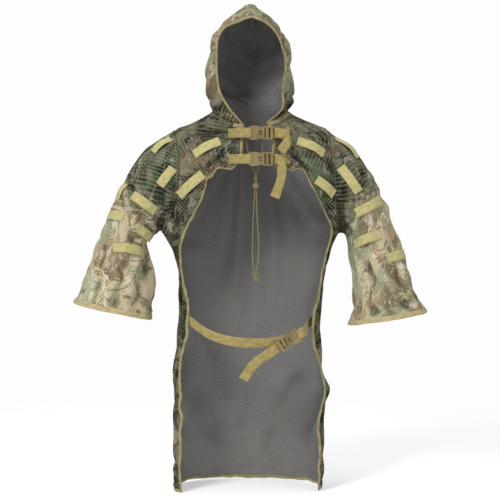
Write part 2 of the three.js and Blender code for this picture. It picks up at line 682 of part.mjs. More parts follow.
const FRONT_SLACK = { [RIGHT]: 0.2, [LEFT]: 0.45 };
bothSides((side, word) => tape(`front_edge_binding_${word}`, columnEdge(fronts[side], 0, 1),
  fronts[side].faces, { slack: FRONT_SLACK[side] }));
bothSides((side, word) => {
  const last = SLEEVE_RINGS.length - 1;
  tape(`cuff_binding_${word}`, rowEdge(sleeves[side], last, last - 1), sleeves[side].faces,
    { width: CUFF_TAPE, closed: true });
});

// up the right face edge, over the brow and down the left
function hoodChannel() {
  const right = columnEdge(hoods[RIGHT], 0, 1).reverse();
  const left = columnEdge(hoods[LEFT], 0, 1);
  const rightBrow = right[right.length - 1];
  const brow = {
    point: mix(rightBrow.point, left[0].point, 0.5),
    normal: unit(add(rightBrow.normal, left[0].normal)),
    inward: [0, 18, 14],
  };
  tape('hood_face_channel', [...right.slice(0, -1), brow, ...left.slice(1)], hoodFaces,
    { width: HOOD_TAPE, slack: 0.25 });
}
hoodChannel();

// down the right edge, along the hem and up the left
function tailBinding() {
  const { grid, normals } = tail;
  const hem = grid.length - 1;
  const last = grid[0].length - 1;
  const corner = (j, inner) => {
    const point = grid[hem][j];
    const sideways = unit(sub(grid[hem][inner], point));
    const upward = unit(sub(grid[hem - 1][j], point));
    return { point, normal: normals[hem][j], inward: unit(add(sideways, upward)) };
  };
  tape('tail_binding', [
    ...columnEdge(tail, 0, 1).slice(0, -1),
    corner(0, 1),
    ...rowEdge(tail, hem, hem - 1).slice(1, -1),
    corner(last, last - 1),
    ...columnEdge(tail, last, last - 1).reverse().slice(1),
  ], tail.faces);
}
tailBinding();

// ---------------------------------------------------------------- foliage loops
// a strap between two surface points, sewn down over sewnEnd at both ends and
// free between them
function foliageLoop(name, base, side, start, end, { rise = LOOP_RISE, sewnEnd = 9 } = {}) {
  const { surface, faces, outward } = base;
  const origin = surface(...start, side);
  const chord = sub(surface(...end, side), origin);
  const total = len(chord);
  const lengthwise = unit(chord);
  const [first, second] = mix(start, end, 0.5);
  const slope = cross(
    sub(surface(first + 1, second, side), surface(first - 1, second, side)),
    sub(surface(first, second + 0.02, side), surface(first, second - 0.02, side)));
  const normal = squareTo(
    facing(unit(slope), outward(surface(first, second, side))), lengthwise);
  const across = cross(normal, lengthwise);

  const sewn = Math.min(sewnEnd, total * 0.22);
  const free = total > 60 ? [0.28, 0.5, 0.72] : [0.32, 0.68];
  // distance along the chord, height over the sewn ends
  const stations = [
    [0, 0], [sewn, 0],
    ...free.map((part) => [total * part, rise * (part === 0.5 ? 1 : 0.85)]),
    [total - sewn, 0], [total, 0],
  ];
  const floorAt = (distance) => SEWN_LIFT
    + heightUnder(faces, add(origin, lengthwise, distance), normal, across, WEB);
  const heights = stations.map(([distance, stand]) => floorAt(distance) + stand);
  liftClear(heights, 4, 6, (i, part) => {
    const distance = stations[i][0] + (stations[i + 1][0] - stations[i][0]) * part;
    return floorAt(distance) - (heights[i] + (heights[i + 1] - heights[i]) * part);
  });
  const sections = stations.map(([distance], i) => {
    const under = add(add(origin, lengthwise, distance), normal, heights[i]);
    const over = add(under, normal, LOOP_T);
    return [add(over, across, WEB / 2), add(over, across, -WEB / 2),
      add(under, across, -WEB / 2), add(under, across, WEB / 2)];
  });
  emit(name, ...loft(sections, false, [[0, 1, 2, 3]]), FINISH.khaki);
}

// name, side, start and end as x, z seen from the front
const CHEST_LOOPS = [
  ['chest_upper_right', RIGHT, [-143, 869], [-77, 902]],
  ['chest_lower_right', RIGHT, [-181, 763], [-120, 817]],
  ['chest_upper_left', LEFT, [122, 904], [190, 873]],
  ['chest_lower_left', LEFT, [170, 806], [212, 768]],
];
for (const [name, side, start, end] of CHEST_LOOPS) {
  const base = { surface: torso, faces: fronts[side].faces, outward: fromAxis };
  foliageLoop(`foliage_loop_${name}`, base, side, onTorso(side, start), onTorso(side, end));
}

// name, side, how the ends are given, start, end, options;
// ends are x, z seen from the front, or turn, ring on the sleeve
const seen = onSleeve;
const turnRing = (side, parameters) => parameters;
const FLAT = { rise: 4 };
const FLAT_SHORT = { rise: 4, sewnEnd: 6 };
const SLEEVE_LOOPS = [
  ['shoulder_right', RIGHT, seen, [-203, 925], [-252, 878]],
  ['upper_arm_right', RIGHT, seen, [-196, 835], [-233, 790]],
  ['outer_arm_right', RIGHT, turnRing, [22, 2.55], [20, 3.15], FLAT_SHORT],
  ['outer_elbow_right', RIGHT, seen, [-366, 715], [-326, 708], FLAT_SHORT],
  ['elbow_right', RIGHT, seen, [-304, 767], [-244, 724]],
  ['inner_arm_right', RIGHT, seen, [-292, 682], [-258, 650], FLAT],
  ['forearm_right', RIGHT, seen, [-352, 630], [-275, 614]],
  ['shoulder_left', LEFT, turnRing, [24, 0.5], [27, 1.85]],
  ['upper_arm_left', LEFT, seen, [234, 838], [280, 774]],
  ['elbow_left', LEFT, seen, [270, 718], [340, 752]],
  ['inner_arm_left', LEFT, seen, [270, 636], [335, 665]],
  ['forearm_left', LEFT, seen, [351, 601], [402, 614]],
];
for (const [name, side, find, start, end, options] of SLEEVE_LOOPS) {
  const base = { surface: sleeve, faces: sleeves[side].faces, outward: fromSleeveAxis(side) };
  foliageLoop(`foliage_loop_${name}`, base, side, find(side, start), find(side, end), options);
}

// continuous level strap over the cloth, sewn down at the listed points
function loopRow(name, faces, points, sewn) {
  const path = points.map(({ point, normal }) => ({
    point, normal: unit([normal[0], normal[1], 0]),
  }));
  const ground = (point, normal) => heightUnder(faces, point, normal, UP, WEB + 1) + WEB_T / 2;
  const heights = path.map(({ point, normal }, i) => ground(point, normal)
    + (sewn.includes(i) ? SEWN_LIFT : ROW_RISE));
  const lifted = (i) => add(path[i].point, path[i].normal, heights[i]);
  liftClear(heights, 3, 4, (i, part) => SEWN_LIFT + ground(
    mix(lifted(i), lifted(i + 1), part),
    unit(mix(path[i].normal, path[i + 1].normal, part))));
  ribbon(name, path.map((_, i) => lifted(i)), FINISH.khaki);
}
function torsoStation(angle, level, side) {
  const point = torso(angle, level, side);
  const normal = unit(cross(sub(torso(angle + 1, level, side), point),
    sub(torso(angle, level + 0.05, side), point)));
  return { point, normal: facing(normal, fromAxis(point)) };
}
// level, angle behind the side where the row starts
const BACK_ROWS = [[3.75, 40], [6.6, 20], [8.6, 20]];
BACK_ROWS.forEach(([level, angle], i) => loopRow(`back_loop_row_${i + 1}`, back.faces,
  aroundBack(level, 6, () => -angle, torsoStation), [0, 1, 4, 5, 7, 8, 11, 12]));

function hoodLoopRow() {
  const row = 7;
  const station = (side, j) => ({
    point: hoods[side].grid[row][j], normal: hoods[side].normals[row][j],
  });
  const columns = [2, 3, 4, 5, 6];
  const [seamRight, seamLeft] = [station(RIGHT, HOOD_COLS), station(LEFT, HOOD_COLS)];
  const middle = {
    point: mix(seamRight.point, seamLeft.point, 0.5),
    normal: unit(add(seamRight.normal, seamLeft.normal)),
  };
  loopRow('hood_loop_row', hoodFaces, [
    ...columns.map((j) => station(RIGHT, j)),
    middle,
    ...columns.map((j) => station(LEFT, j)).reverse(),
  ], [0, 1, 4, 6, 9, 10]);
}
hoodLoopRow();

// ---------------------------------------------------------------- buckles
// local frame: x the insertion axis (housing to plug), y through the thickness
// (back to the wearer +), z across; outlines are x, z
const HOUSING_OUTLINE = [
  [-17, -14.5], [-14, -BUCKLE_Z], [4, -BUCKLE_Z], [7, -15.6], [13, -15.6], [17, -13.5],
  [17, 13.5], [13, 15.6], [7, 15.6], [4, BUCKLE_Z], [-14, BUCKLE_Z], [-17, 14.5],
];
const PLUG_OUTLINE = [
  [17.6, -15], [20, -17], [40, -17], [44, -14.5],
  [44, 14.5], [40, 17], [20, 17], [17.6, 15],
];
const ARM_OUTLINE = [
  [17.2, 9.5], [4, 9.5], [-6, 10.5], [-8, 12.2], [-6, 14.6],
  [1, 16.5], [4, 16.2], [4.6, 12.5], [17.2, 12.5],
];
const ARM_MIRRORED = ARM_OUTLINE.map(([x, z]) => [x, -z]).reverse();
const webSlot = (centre, half) => box(centre - half, centre + half, -9, 9, -13, 13);

function buckle(name, frame) {
  const housing = plate(HOUSING_OUTLINE, BUCKLE_T)
    .subtract(webSlot(HOUSING_SLOT, 1.75))
    .subtract(box(-9, 20, -3.2, 3.2, -20, 20))      // cavity, open at the mouth and sides
    .subtract(box(9, 20, -9, 0, -5, 5));            // notch in the front wall
  const plug = plate(PLUG_OUTLINE, 4.5)
    .subtract(webSlot(PLUG_SLOT, 2))
    .subtract(webSlot(35.25, 2.25))
    .add(box(-6, 20, -2.2, 2.2, -3, 3));            // centre tongue
  place(`${name}_housing`, housing, frame, FINISH.buckle);
  place(`${name}_plug`, plug, frame, FINISH.buckle);
  place(`${name}_arm_upper`, plate(ARM_OUTLINE, 2.6), frame, FINISH.buckle);
  place(`${name}_arm_lower`, plate(ARM_MIRRORED, 2.6), frame, FINISH.buckle);
}
const upperFrame = frameAt(CHEST_UPPER);
const lowerFrame = frameAt(CHEST_LOWER);
const waistFrame = frameAt(WAIST, Math.PI + WAIST_TILT);
buckle('chest_buckle_upper', upperFrame);
buckle('chest_buckle_lower', lowerFrame);
buckle('waist_buckle', waistFrame);

// ---------------------------------------------------------------- chest straps
// rise is the web centre's height in front of the cloth where it is sewn
function chestWebs(name, frame, rightEnd, leftEnd, rise) {
  const [, buckleY, z] = frame.origin;
  // foremost y of the cloth behind the web
  const clothY = (side, x) => Math.min(...[-WEB / 2, 0, WEB / 2].map(
    (up) => torso(...onTorso(side, [x, z + up]), side)[1]));
  const sewn = (side, x) => [x, clothY(side, x) - rise, z];
  // wearer's right: sewn to the panel, rising over the edge tape, through the housing
  const edgeX = -26;
  ribbon(`${name}_web_right`, [
    sewn(RIGHT, rightEnd),
    sewn(RIGHT, rightEnd + 12),
    [edgeX, Math.max(buckleY - 5, clothY(RIGHT, edgeX) - rise - 3.4), z],
    [-13, buckleY - 4.8, z],
    [-6.2, buckleY - WEB_LAYER, z],
    inFrame(frame, HOUSING_SLOT, -WEB_LAYER),
    inFrame(frame, HOUSING_SLOT, WEB_LAYER),
    inFrame(frame, -20.5, WEB_LAYER),
  ], FINISH.strap);
  // wearer's left: running in behind the plug, sewn to the panel
  const behindPlug = (x) => [x, Math.max(buckleY + 8.3, clothY(LEFT, x) - 5), z];
  ribbon(`${name}_web_left`,
    [behindPlug(60), behindPlug(72), sewn(LEFT, leftEnd - 14), sewn(LEFT, leftEnd)],
    FINISH.strap);
}
chestWebs('chest_upper', upperFrame, -56, 101, 1.8);
chestWebs('chest_lower', lowerFrame, -54, 103, 3.9);

// strap tails: laced through the plug (buckle x, y), then hanging free;
// hang rows are x, distance in front of the buckle centre, z
const PLUG_LACING = [
  [30.2, WEB_LAYER - 0.5], [PLUG_SLOT, WEB_LAYER - 0.5],
  [PLUG_SLOT, -WEB_LAYER + 0.2], [38, -WEB_LAYER + 0.2],
];
function strapTail(name, frame, exitX, hang) {
  const laced = [...PLUG_LACING, [exitX, -WEB_LAYER]];
  const points = [
    ...laced.map(([x, y]) => inFrame(frame, x, y)),
    ...hang.map(([x, ahead, z]) => [x, frame.origin[1] - ahead, z]),
  ];
  let across = frame.z;
  const sections = points.map((point, i) => {
    const { tangent, mitre } = pathFrame(points, i, 0.6);
    const hanging = i >= laced.length;
    if (hanging) across = facing(unit(cross([0, -1, 0], tangent)), across);
    return webSection(point, across, unit(cross(tangent, across)),
      WEB_T / 2 * (hanging ? 1 : mitre));
  });
  emit(name, ...loft(sections, false, [[0, 1, 2, 3]]), FINISH.strap);
}
strapTail('chest_upper_strap_tail', upperFrame, 47, [
  [76, 7, 921.5], [88, 7.5, 917.5], [96, 8, 909], [99, 8, 897], [97, 7.5, 884], [90, 7, 873],
]);
strapTail('chest_lower_strap_tail', lowerFrame, 47, [
  [72, 7.2, 853.5], [80, 7.6, 848], [84, 7.6, 838], [84, 7, 822],
  [79, 6, 800], [71, 5, 778], [64, 4, 760],
]);
strapTail('waist_strap_tail', waistFrame, 50, [
  [57, 7, 368], [44, 7.5, 360], [31, 8, 352], [13, 8, 339], [-6, 7, 322], [-20, 6, 300],
]);

// ---------------------------------------------------------------- waist belt
// long web from the wearer's right side seam, across the front, behind the plug
ribbon('waist_strap_long', [
  [-178, 14, 457], [-175, -16, 454], [-163.5, -43, 448], [-150, -66, 438],
  [-120, -92, 417], [-88, -107, 402], [-52, -116, 393], [-10, -121, 388],
  [30, -122, 387.5], [62, -122, 390], [88, -122, 397], [100, -122, 401],
], FINISH.strap);

// short web: through the housing, then inside the wearer's left edge, its width
// turning from the buckle's direction to upright
function shortWaistStrap() {
  const points = [
    inFrame(waistFrame, -20, WEB_LAYER),
    inFrame(waistFrame, HOUSING_SLOT, WEB_LAYER),
    inFrame(waistFrame, HOUSING_SLOT, -WEB_LAYER),
    inFrame(waistFrame, -19, -WEB_LAYER),
    inFrame(waistFrame, -29, -WEB_LAYER + 4),
    [143, -108, 421], [146, -80, 427], [149, -58, 431],
    [155, -38, 436], [165, -20, 440], [174, -7, 443],
  ];
  const upright = [0, 0, 0, 0, 0.15, 0.4, 0.7, 0.9, 1, 1, 1];
  ribbon('waist_strap_short', points, FINISH.strap,
    (i) => mix(mul(waistFrame.z, -1), UP, upright[i]));
}
shortWaistStrap();

// ---------------------------------------------------------------- drawcord
// down from the neck on the right, round the bottom of the V and up on the left
const NECK_CORD = [
  [-11, -99.5, 937], [-9, -101, 905], [-3, -101, 871], [5, -100, 840],
  [11.2, CORD_Y, 823.5], [12.6, CORD_Y, 820.6], [16, CORD_Y, 820.6], [17.4, CORD_Y, 823.5],
  [26, -100, 840], [31, -101, 871], [32.5, -101, 905], [37, -99.5, 935],
];
emit('drawcord_neck', ...tube(NECK_CORD, CORD_R, 6), FINISH.cord);

// two strands that fuse in the end knot and fray below it
function tassel() {
  const strand = (x) => tubeSolid([[x, 0, STRAND_TOP_Z], [x, 0, KNOT_Z]], STRAND_R, 6);
  const knot = solid(new THREE.SphereGeometry(6, 10, 8)
    .scale(1, 1.35, 0.85).rotateX(Math.PI / 2).translate(0, 0, KNOT_Z - 2));
  const fray = (x, spread) => tubeSolid([
    [x, 0, KNOT_Z - 4],
    [x + spread * 0.5, 0.6, KNOT_Z - 16],
    [x + spread, -0.4, KNOT_Z - 29],
  ], 1.5, 5);
  return strand(-STRAND_X).add(strand(STRAND_X)).add(knot)
    .add(fray(-1.8, -4)).add(fray(1.8, 3.4));
}
place('drawcord_tassel', tassel(), frameAt([CHEST_X, CORD_Y, 0]), FINISH.tassel);

// ---------------------------------------------------------------- cord lock
// a barrel along y, open to the front, with a button pressed in on a spring
const lockFrame = frameAt([CHEST_X, CORD_Y, LOCK_Z]);

const lockBody = rod(8.5, -8, 10, 20)
  .subtract(rod(5.7, -9, 8.2, 16))                  // bore
  .subtract(box(-4.4, 4.4, -2.6, 2.6, -12, 12));    // cord passage
place('cord_lock_body', lockBody, lockFrame, FINISH.cordLock);

const lockButton = rod(6.8, -14.6, -11, 16)         // head
  .add(rod(5.2, -11.5, 3.2, 14))                    // stem
  .subtract(box(-4.3, 4.3, -4.1, 1.8, -12, 12));    // cord passage
place('cord_lock_button', lockButton, lockFrame, FINISH.cordLock);

function lockSpring() {
  const turns = 2.4;
  const steps = 24;
  const coilRadius = 2.6;
  const startY = 3.95;
  const height = 3.5;
  const coil = range(steps + 1).map((i) => {
    const turn = 2 * Math.PI * turns * i / steps;
    return [coilRadius * Math.cos(turn), startY + height * i / steps, coilRadius * Math.sin(turn)];
  });
  return tubeSolid(coil, 0.4, 4);
}
place('cord_lock_spring', lockSpring(), lockFrame, FINISH.steel);

export default group;
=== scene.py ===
# Ghillie suit jacket: hooded mesh cape-coat with bell sleeves, webbing loops,
# two chest buckles, a waist belt and a long back tail. Design lengths in mm,
# scene lengths in metres, +Z up, the open front faces -Y, the wearer's right is -X.
import itertools
import math
import bmesh
import bpy
import numpy as np
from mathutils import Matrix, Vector
from mathutils.bvhtree import BVHTree
from mathutils.kdtree import KDTree


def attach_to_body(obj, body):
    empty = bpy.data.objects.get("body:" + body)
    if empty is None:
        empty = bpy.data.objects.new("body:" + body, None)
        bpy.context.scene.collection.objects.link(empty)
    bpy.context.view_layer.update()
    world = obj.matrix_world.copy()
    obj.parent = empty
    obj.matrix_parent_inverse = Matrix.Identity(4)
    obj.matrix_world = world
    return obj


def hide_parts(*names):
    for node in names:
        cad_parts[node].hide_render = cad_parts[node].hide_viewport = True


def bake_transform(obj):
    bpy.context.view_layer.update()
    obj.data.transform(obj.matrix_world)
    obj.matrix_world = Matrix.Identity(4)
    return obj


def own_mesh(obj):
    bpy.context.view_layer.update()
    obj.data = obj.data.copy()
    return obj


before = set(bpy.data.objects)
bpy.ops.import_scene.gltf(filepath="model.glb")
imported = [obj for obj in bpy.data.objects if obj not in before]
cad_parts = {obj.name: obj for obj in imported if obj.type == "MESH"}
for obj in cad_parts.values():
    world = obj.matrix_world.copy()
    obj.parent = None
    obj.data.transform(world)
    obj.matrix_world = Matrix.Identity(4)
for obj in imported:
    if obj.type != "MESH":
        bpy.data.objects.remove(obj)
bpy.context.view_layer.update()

RAD = math.pi / 180
SIDES = {-1: "right", 1: "left"}
OFFSET = np.array([0.5145, -5.2786, 2.4088])    # from design to scene place, mm
CLOTH = 1.4                                     # cloth thickness
WEB = 25.0                                      # webbing width
WEB_T = 1.6                                     # webbing thickness
BUCKLE_T = 5.0
LAYER = BUCKLE_T + 1.25                         # webbing centre from a buckle's mid-plane
MID_X = 14.3                                    # x of the chest buckles and the cord lock
UPPER = (MID_X, -116.0, 922.0)                  # chest buckle centres
LOWER = (MID_X, -125.0, 855.0)
WAIST = (112.0, -133.0, 403.0)                  # waist buckle centre
TILT = 32 * RAD                                 # of the waist buckle, in the XZ plane
CORD_Y = -98.0
LOCK_Z = 788                                    # height of the cord lock's spring
ARM_LEVEL = 4                                   # armhole centre, in torso levels
ARM_TOP = 1.25                                  # armhole rise above its centre, in levels
ARM_FRONT = {-1: 25.0, 1: 17.0}                 # armhole half widths, degrees round the torso
ARM_BACK = 25.0
UP = np.array([0, 0, 1.0])

# Torso levels, neck to tail hem: half width right, left; depth front, back; centre y;
# superellipse exponent; height at front, side, back.
LEVELS = np.array([
    [94, 94, 94, 92, -2, 2.0, 943, 985, 1003],
    [124, 124, 100, 106, -2, 2.0, 922, 972, 984],
    [164, 165, 106, 116, 0, 2.1, 898, 956, 955],
    [205, 210, 110, 122, 0, 2.4, 870, 938, 915],
    [214, 231, 114, 128, 0, 3.0, 800, 800, 810],
    [221, 226, 108, 130, 0, 2.8, 667, 667, 667],
    [197, 212, 100, 128, 0, 2.5, 622, 622, 622],
    [190, 196, 100, 124, 0, 2.5, 565, 565, 565],
    [182, 184, 100, 120, 0, 2.5, 494, 494, 494],
    [191, 183, 100, 126, 0, 2.5, 400, 400, 400],
    [202, 191, 100, 134, 0, 2.5, 307, 307, 307],
    [203, 208, 100, 138, 0, 2.5, 262, 262, 262],
    [201, 188, 100, 142, 0, 2.5, 180, 180, 180],
    [198, 187, 100, 145, 0, 2.5, 100, 100, 100],
    [200, 184, 100, 150, 0, 2.5, 0, 0, 0]], float)
TAIL_LEVEL = 10
# Open front edge from the neck down by side: (distance from x = 0, z).
EDGE_TOP = {
    -1: [(17, 943), (18, 905), (19.5, 872), (24, 849), (35, 837.5), (54, 832), (79, 828),
         (97, 815), (107, 796), (121, 757), (143, 713), (165, 670)],
    1: [(45, 941), (58, 908), (57, 872), (59.5, 849), (71, 837), (92, 832.5), (118, 829),
        (139, 821), (150, 804), (164, 776), (185, 733), (211, 682)]}
# The same edge below the armholes: (z, distance from x = 0).
EDGE_LOW = {
    -1: [(667, 166), (650, 174), (619, 179), (563, 178), (510, 167), (478, 159.5), (406, 159.5),
         (372, 168), (343, 177), (311, 181), (255, 180), (208, 178), (182, 175), (150, 178),
         (60, 180), (0, 178)],
    1: [(667, 213), (645, 208), (626, 203), (608, 197), (590, 191), (540, 183), (494, 174),
        (470, 168), (442, 162), (408, 163), (372, 167), (354, 173), (330, 179), (307, 183),
        (285, 190), (262, 195), (235, 192), (208, 184), (182, 178), (160, 176), (130, 177),
        (90, 179), (40, 178), (0, 176)]}
# Sleeve rings below the armhole: outer x, outer z, inner x, inner z, half depth, centre y.
SLEEVE = {
    -1: [(242, 915, 232, 672, 84, -2), (289, 868, 252, 663, 84, -3), (348, 767, 270, 647, 80, -5),
         (377, 705, 273, 624, 78, -8), (412, 616, 257, 559, 82, -10),
         (439, 538, 257, 494, 88, -12), (460, 485, 260, 440, 92, -14)],
    1: [(245, 911, 239, 666, 80, -2), (289, 868, 252, 660, 84, -3), (348, 770, 258, 630, 80, -5),
        (365, 714, 262, 600, 78, -8), (402, 621, 274, 560, 82, -10),
        (426, 546, 270, 500, 88, -12), (459, 458, 262, 426, 92, -14)]}
# Hood rows, top to neck: points (x, y, z) from the face edge to the back centre line.
HOOD = {
    -1: [
        [[2, -66, 1222], [2, -60, 1227], [2, -54, 1232], [2, -48, 1236]],
        [[-38, -68, 1210], [-28, -38, 1240], [-14, -22, 1251], [2, -10, 1258]],
        [[-68, -70, 1192], [-70, -20, 1218], [-45, 18, 1248], [2, 40, 1262]],
        [[-82, -72, 1160], [-92, -25, 1180], [-88, 32, 1206], [-50, 74, 1220], [2, 90, 1225]],
        [[-85, -74, 1100], [-108, -30, 1105], [-112, 25, 1120], [-72, 95, 1142], [2, 118, 1150]],
        [[-78, -80, 1035], [-110, -35, 1040], [-112, 20, 1050], [-70, 88, 1062], [2, 112, 1065]],
        [[-54, -88, 989], [-95, -50, 1003], [-108, -5, 1020], [-72, 75, 1030], [1, 100, 1033]]],
    1: [
        [[2, -66, 1222], [2, -60, 1227], [2, -54, 1232], [2, -48, 1236]],
        [[35, -68, 1213], [28, -38, 1242], [15, -22, 1252], [2, -10, 1258]],
        [[64, -70, 1188], [68, -20, 1216], [44, 18, 1248], [2, 40, 1262]],
        [[80, -72, 1152], [92, -25, 1178], [88, 32, 1204], [54, 74, 1219], [2, 90, 1225]],
        [[92, -74, 1100], [105, -30, 1103], [108, 25, 1118], [76, 95, 1141], [2, 118, 1150]],
        [[84, -80, 1035], [107, -35, 1038], [110, 20, 1046], [74, 88, 1059], [2, 112, 1065]],
        [[82, -88, 985], [108, -50, 1001], [112, -5, 1017], [76, 75, 1029], [1, 100, 1033]]]}


# ---------------------------------------------------------------- numbers
def unit(vectors):
    vectors = np.asarray(vectors, float)
    return vectors / np.maximum(np.linalg.norm(vectors, axis=-1, keepdims=True), 1e-12)


def vec(x, y=0, z=0):
    """Points (..., 3) from coordinates that may be arrays or numbers."""
    return np.stack(np.broadcast_arrays(x, y, z), -1)


def step(x):
    """Smooth step from 0 to 1."""
    x = np.clip(x, 0, 1)
    return x * x * (3 - 2 * x)


def bell(x):
    return np.exp(-x * x)


def arc_length(points, axis=0):
    """Length run from the first point along an axis of a grid of points."""
    steps = np.linalg.norm(np.diff(points, axis=axis), axis=-1)
    return np.insert(np.cumsum(steps, axis), 0, 0, axis)


def catmull(before, start, end, after, t):
    tan1, tan2 = (end - before) / 2, (after - start) / 2
    t2, t3 = t * t, t * t * t
    return ((2 * t3 - 3 * t2 + 1) * start + (t3 - 2 * t2 + t) * tan1
            + (3 * t2 - 2 * t3) * end + (t3 - t2) * tan2)


def spline(rows, at):
    """Catmull-Rom through rows (n, ...) at the row numbers at."""
    rows = np.asarray(rows, float)
    at = np.asarray(at, float)
    last = len(rows) - 1
    i = np.clip(np.floor(at).astype(int), 0, last - 1)
    t = np.clip(at - i, 0, 1)
    t = t.reshape(t.shape + (1,) * (rows.ndim - 1))
    return catmull(rows[np.maximum(i - 1, 0)], rows[i],
                   rows[np.minimum(i + 1, last)], rows[np.minimum(i + 2, last)], t)


def dense(points, steps=6):
    """Spline through the points with so many steps per span."""
    points = np.asarray(points, float)
    spans = len(points) - 1
    return spline(points, np.linspace(0, spans, spans * steps + 1))


def lattice(cell, seed):
    """Random value in -1..1 of each whole-number cell."""
    key = cell[..., 0] * 374761393 + cell[..., 1] * 668265263 + cell[..., 2] * 1103515245
    key = (key + seed * 974711 + 12345) & 0xffffffff
    key = ((key ^ (key >> 13)) * 1274126177) & 0xffffffff
    key = ((key ^ (key >> 16)) * 668265263) & 0xffffffff
    return ((key >> 8) & 0xffff) / 32767.5 - 1.0


def noise(points, seed=0):
    """Smooth noise in -1..1 at points (..., 3)."""
    points = np.asarray(points, float)
    cell = np.floor(points).astype(np.int64)
    part = points - cell
    part = part * part * part * (part * (part * 6 - 15) + 10)
    total = 0
    for corner in itertools.product((0, 1), repeat=3):
        share = np.where(corner, part, 1 - part)
        weight = share[..., 0] * share[..., 1] * share[..., 2]
        total = total + weight * lattice(cell + corner, seed)
    return total


def fbm(points, octaves=2, seed=0):
    """Noise summed over octaves of falling strength."""
    total, strength = 0, 1.0
    for k in range(octaves):
        total = total + strength * noise(np.asarray(points) * 2.03 ** k, seed + 17 * k)
        strength *= 0.5
    return total


# ---------------------------------------------------------------- body surface
def torso(angle, level, side):
    """Torso point: angle 90 is the front, 0 the side, -90 the back."""
    angle, level = np.broadcast_arrays(np.asarray(angle, float), np.asarray(level, float))
    row = spline(LEVELS, level)
    width = row[..., 0] if side < 0 else row[..., 1]
    front = angle >= 0
    depth = np.where(front, row[..., 2], row[..., 3])
    cos, sin = np.cos(angle * RAD), np.sin(angle * RAD)
    power = row[..., 5]
    radius = ((np.abs(cos) / width) ** power + (np.abs(sin) / depth) ** power) ** (-1 / power)
    y = row[..., 4] - radius * sin
    share = ((y - row[..., 4]) / depth) ** 2
    z = row[..., 7] + (np.where(front, row[..., 6], row[..., 8]) - row[..., 7]) * share
    return np.stack([side * radius * cos, y, z], -1)


def armhole(turn, side):
    """Torso angle and level round the armhole: turn 0 top, 90 front, 180 bottom."""
    turn = np.asarray(turn, float)
    cos, sin = np.cos(turn * RAD), np.sin(turn * RAD)
    return (np.where(sin >= 0, ARM_FRONT[side], ARM_BACK) * sin,
            ARM_LEVEL - np.where(cos > 0, ARM_TOP, 1) * cos)


def sleeve(turn, ring, side):
    """Sleeve point: ring 0 is the armhole, 7 the cuff; turn 0 outer, 90 front, 180 inner."""
    turn, ring = np.broadcast_arrays(np.asarray(turn, float), np.asarray(ring, float))
    rings = [torso(*armhole(turn, side), side)]
    cos, sin = np.cos(turn * RAD), np.sin(turn * RAD)
    for out_x, out_z, in_x, in_z, depth, mid_y in SLEEVE[side]:
        rings.append(np.stack([side * ((out_x + in_x) / 2 + (out_x - in_x) / 2 * cos),
                               mid_y - depth * sin,
                               (out_z + in_z) / 2 + (out_z - in_z) / 2 * cos], -1))
    rings = np.stack(rings)
    i = np.clip(np.floor(ring).astype(int), 0, 6)

    def pick(j):
        j = np.clip(j, 0, 7)
        return np.take_along_axis(rings, np.repeat(j[None, ..., None], 3, -1), 0)[0]
    return catmull(pick(i - 1), pick(i), pick(i + 1), pick(i + 2), (ring - i)[..., None])


# search limits of the two surface parameters
TORSO_LIMITS = ((0, 89.5), (0, 10))
SLEEVE_LIMITS = ((4, 176), (0.15, 7))


def locate(surface, side, x, z, limits):
    """Surface parameters of the point seen at (x, z), by a narrowing grid search."""
    ranges = limits
    for _ in range(7):
        axes = [np.linspace(low, high, 41) for low, high in ranges]
        points = surface(*np.meshgrid(*axes, indexing="ij"), side)
        miss = np.hypot(points[..., 0] - x, points[..., 2] - z)
        best = np.unravel_index(miss.argmin(), miss.shape)
        found = [axis[i] for axis, i in zip(axes, best)]
        reach = [(high - low) / 40 * 3 for low, high in ranges]
        ranges = [(max(low, mid - span), min(high, mid + span))
                  for (low, high), mid, span in zip(limits, found, reach)]
    return found


def edge_angle(side, level):
    """Angle of the lower front edge at a level, by bisection."""
    z = spline(LEVELS, level)[7]
    rows = EDGE_LOW[side]
    x = float(np.interp(-z, [-row[0] for row in rows], [row[1] for row in rows]))
    low, high = 0.5, 89.0
    for _ in range(40):
        middle = (low + high) / 2
        if abs(torso(middle, level, side)[0]) > x:
            low = middle
        else:
            high = middle
    return (low + high) / 2


# ---------------------------------------------------------------- panel grids
FRONT_COLS = (np.arange(31) / 30) ** 0.9        # edge to side
BACK_COLS = np.arange(27) / 26                  # side to back centre
BODY_ROWS = np.linspace(0, 19, 19 * 5 + 1)
LOW_LEVELS = [5, 5.5, 6, 6.6, 7.2, 8, 8.8, 9.4, 10]     # body rows 11 to 19
TAIL_LEVELS = TAIL_LEVEL + 4 * np.linspace(0, 1, 45)
TURNS = np.arange(0, 81) * 4.5
SLEEVE_ROWS = np.concatenate([np.linspace(0, 1, 10)[:-1], np.linspace(1, 7, 61)])
HOOD_ROWS = np.concatenate([np.linspace(0, 6, 49)[:-1], np.linspace(6, 7, 10)])
NECK_ANGLE = {side: math.acos(EDGE_TOP[side][0][0] / LEVELS[0, 0]) / RAD for side in SIDES}


def side_param(row, side, back=False):
    """Torso angle and level of a panel row's side end: shoulder, armhole, side seam."""
    if row <= 2:
        return 0.0, row
    if row <= 3:
        return 0.0, 2 + (ARM_LEVEL - ARM_TOP - 2) * (row - 2)
    if row <= 11:
        turn = (row - 3) * 22.5
        angle, level = armhole(360 - turn if back else turn, side)
        return float(angle), float(level)
    return 0.0, float(np.interp(row, range(11, 20), LOW_LEVELS))


def low_edge(row, side):
    level = side_param(row, side)[1]
    return edge_angle(side, level), level


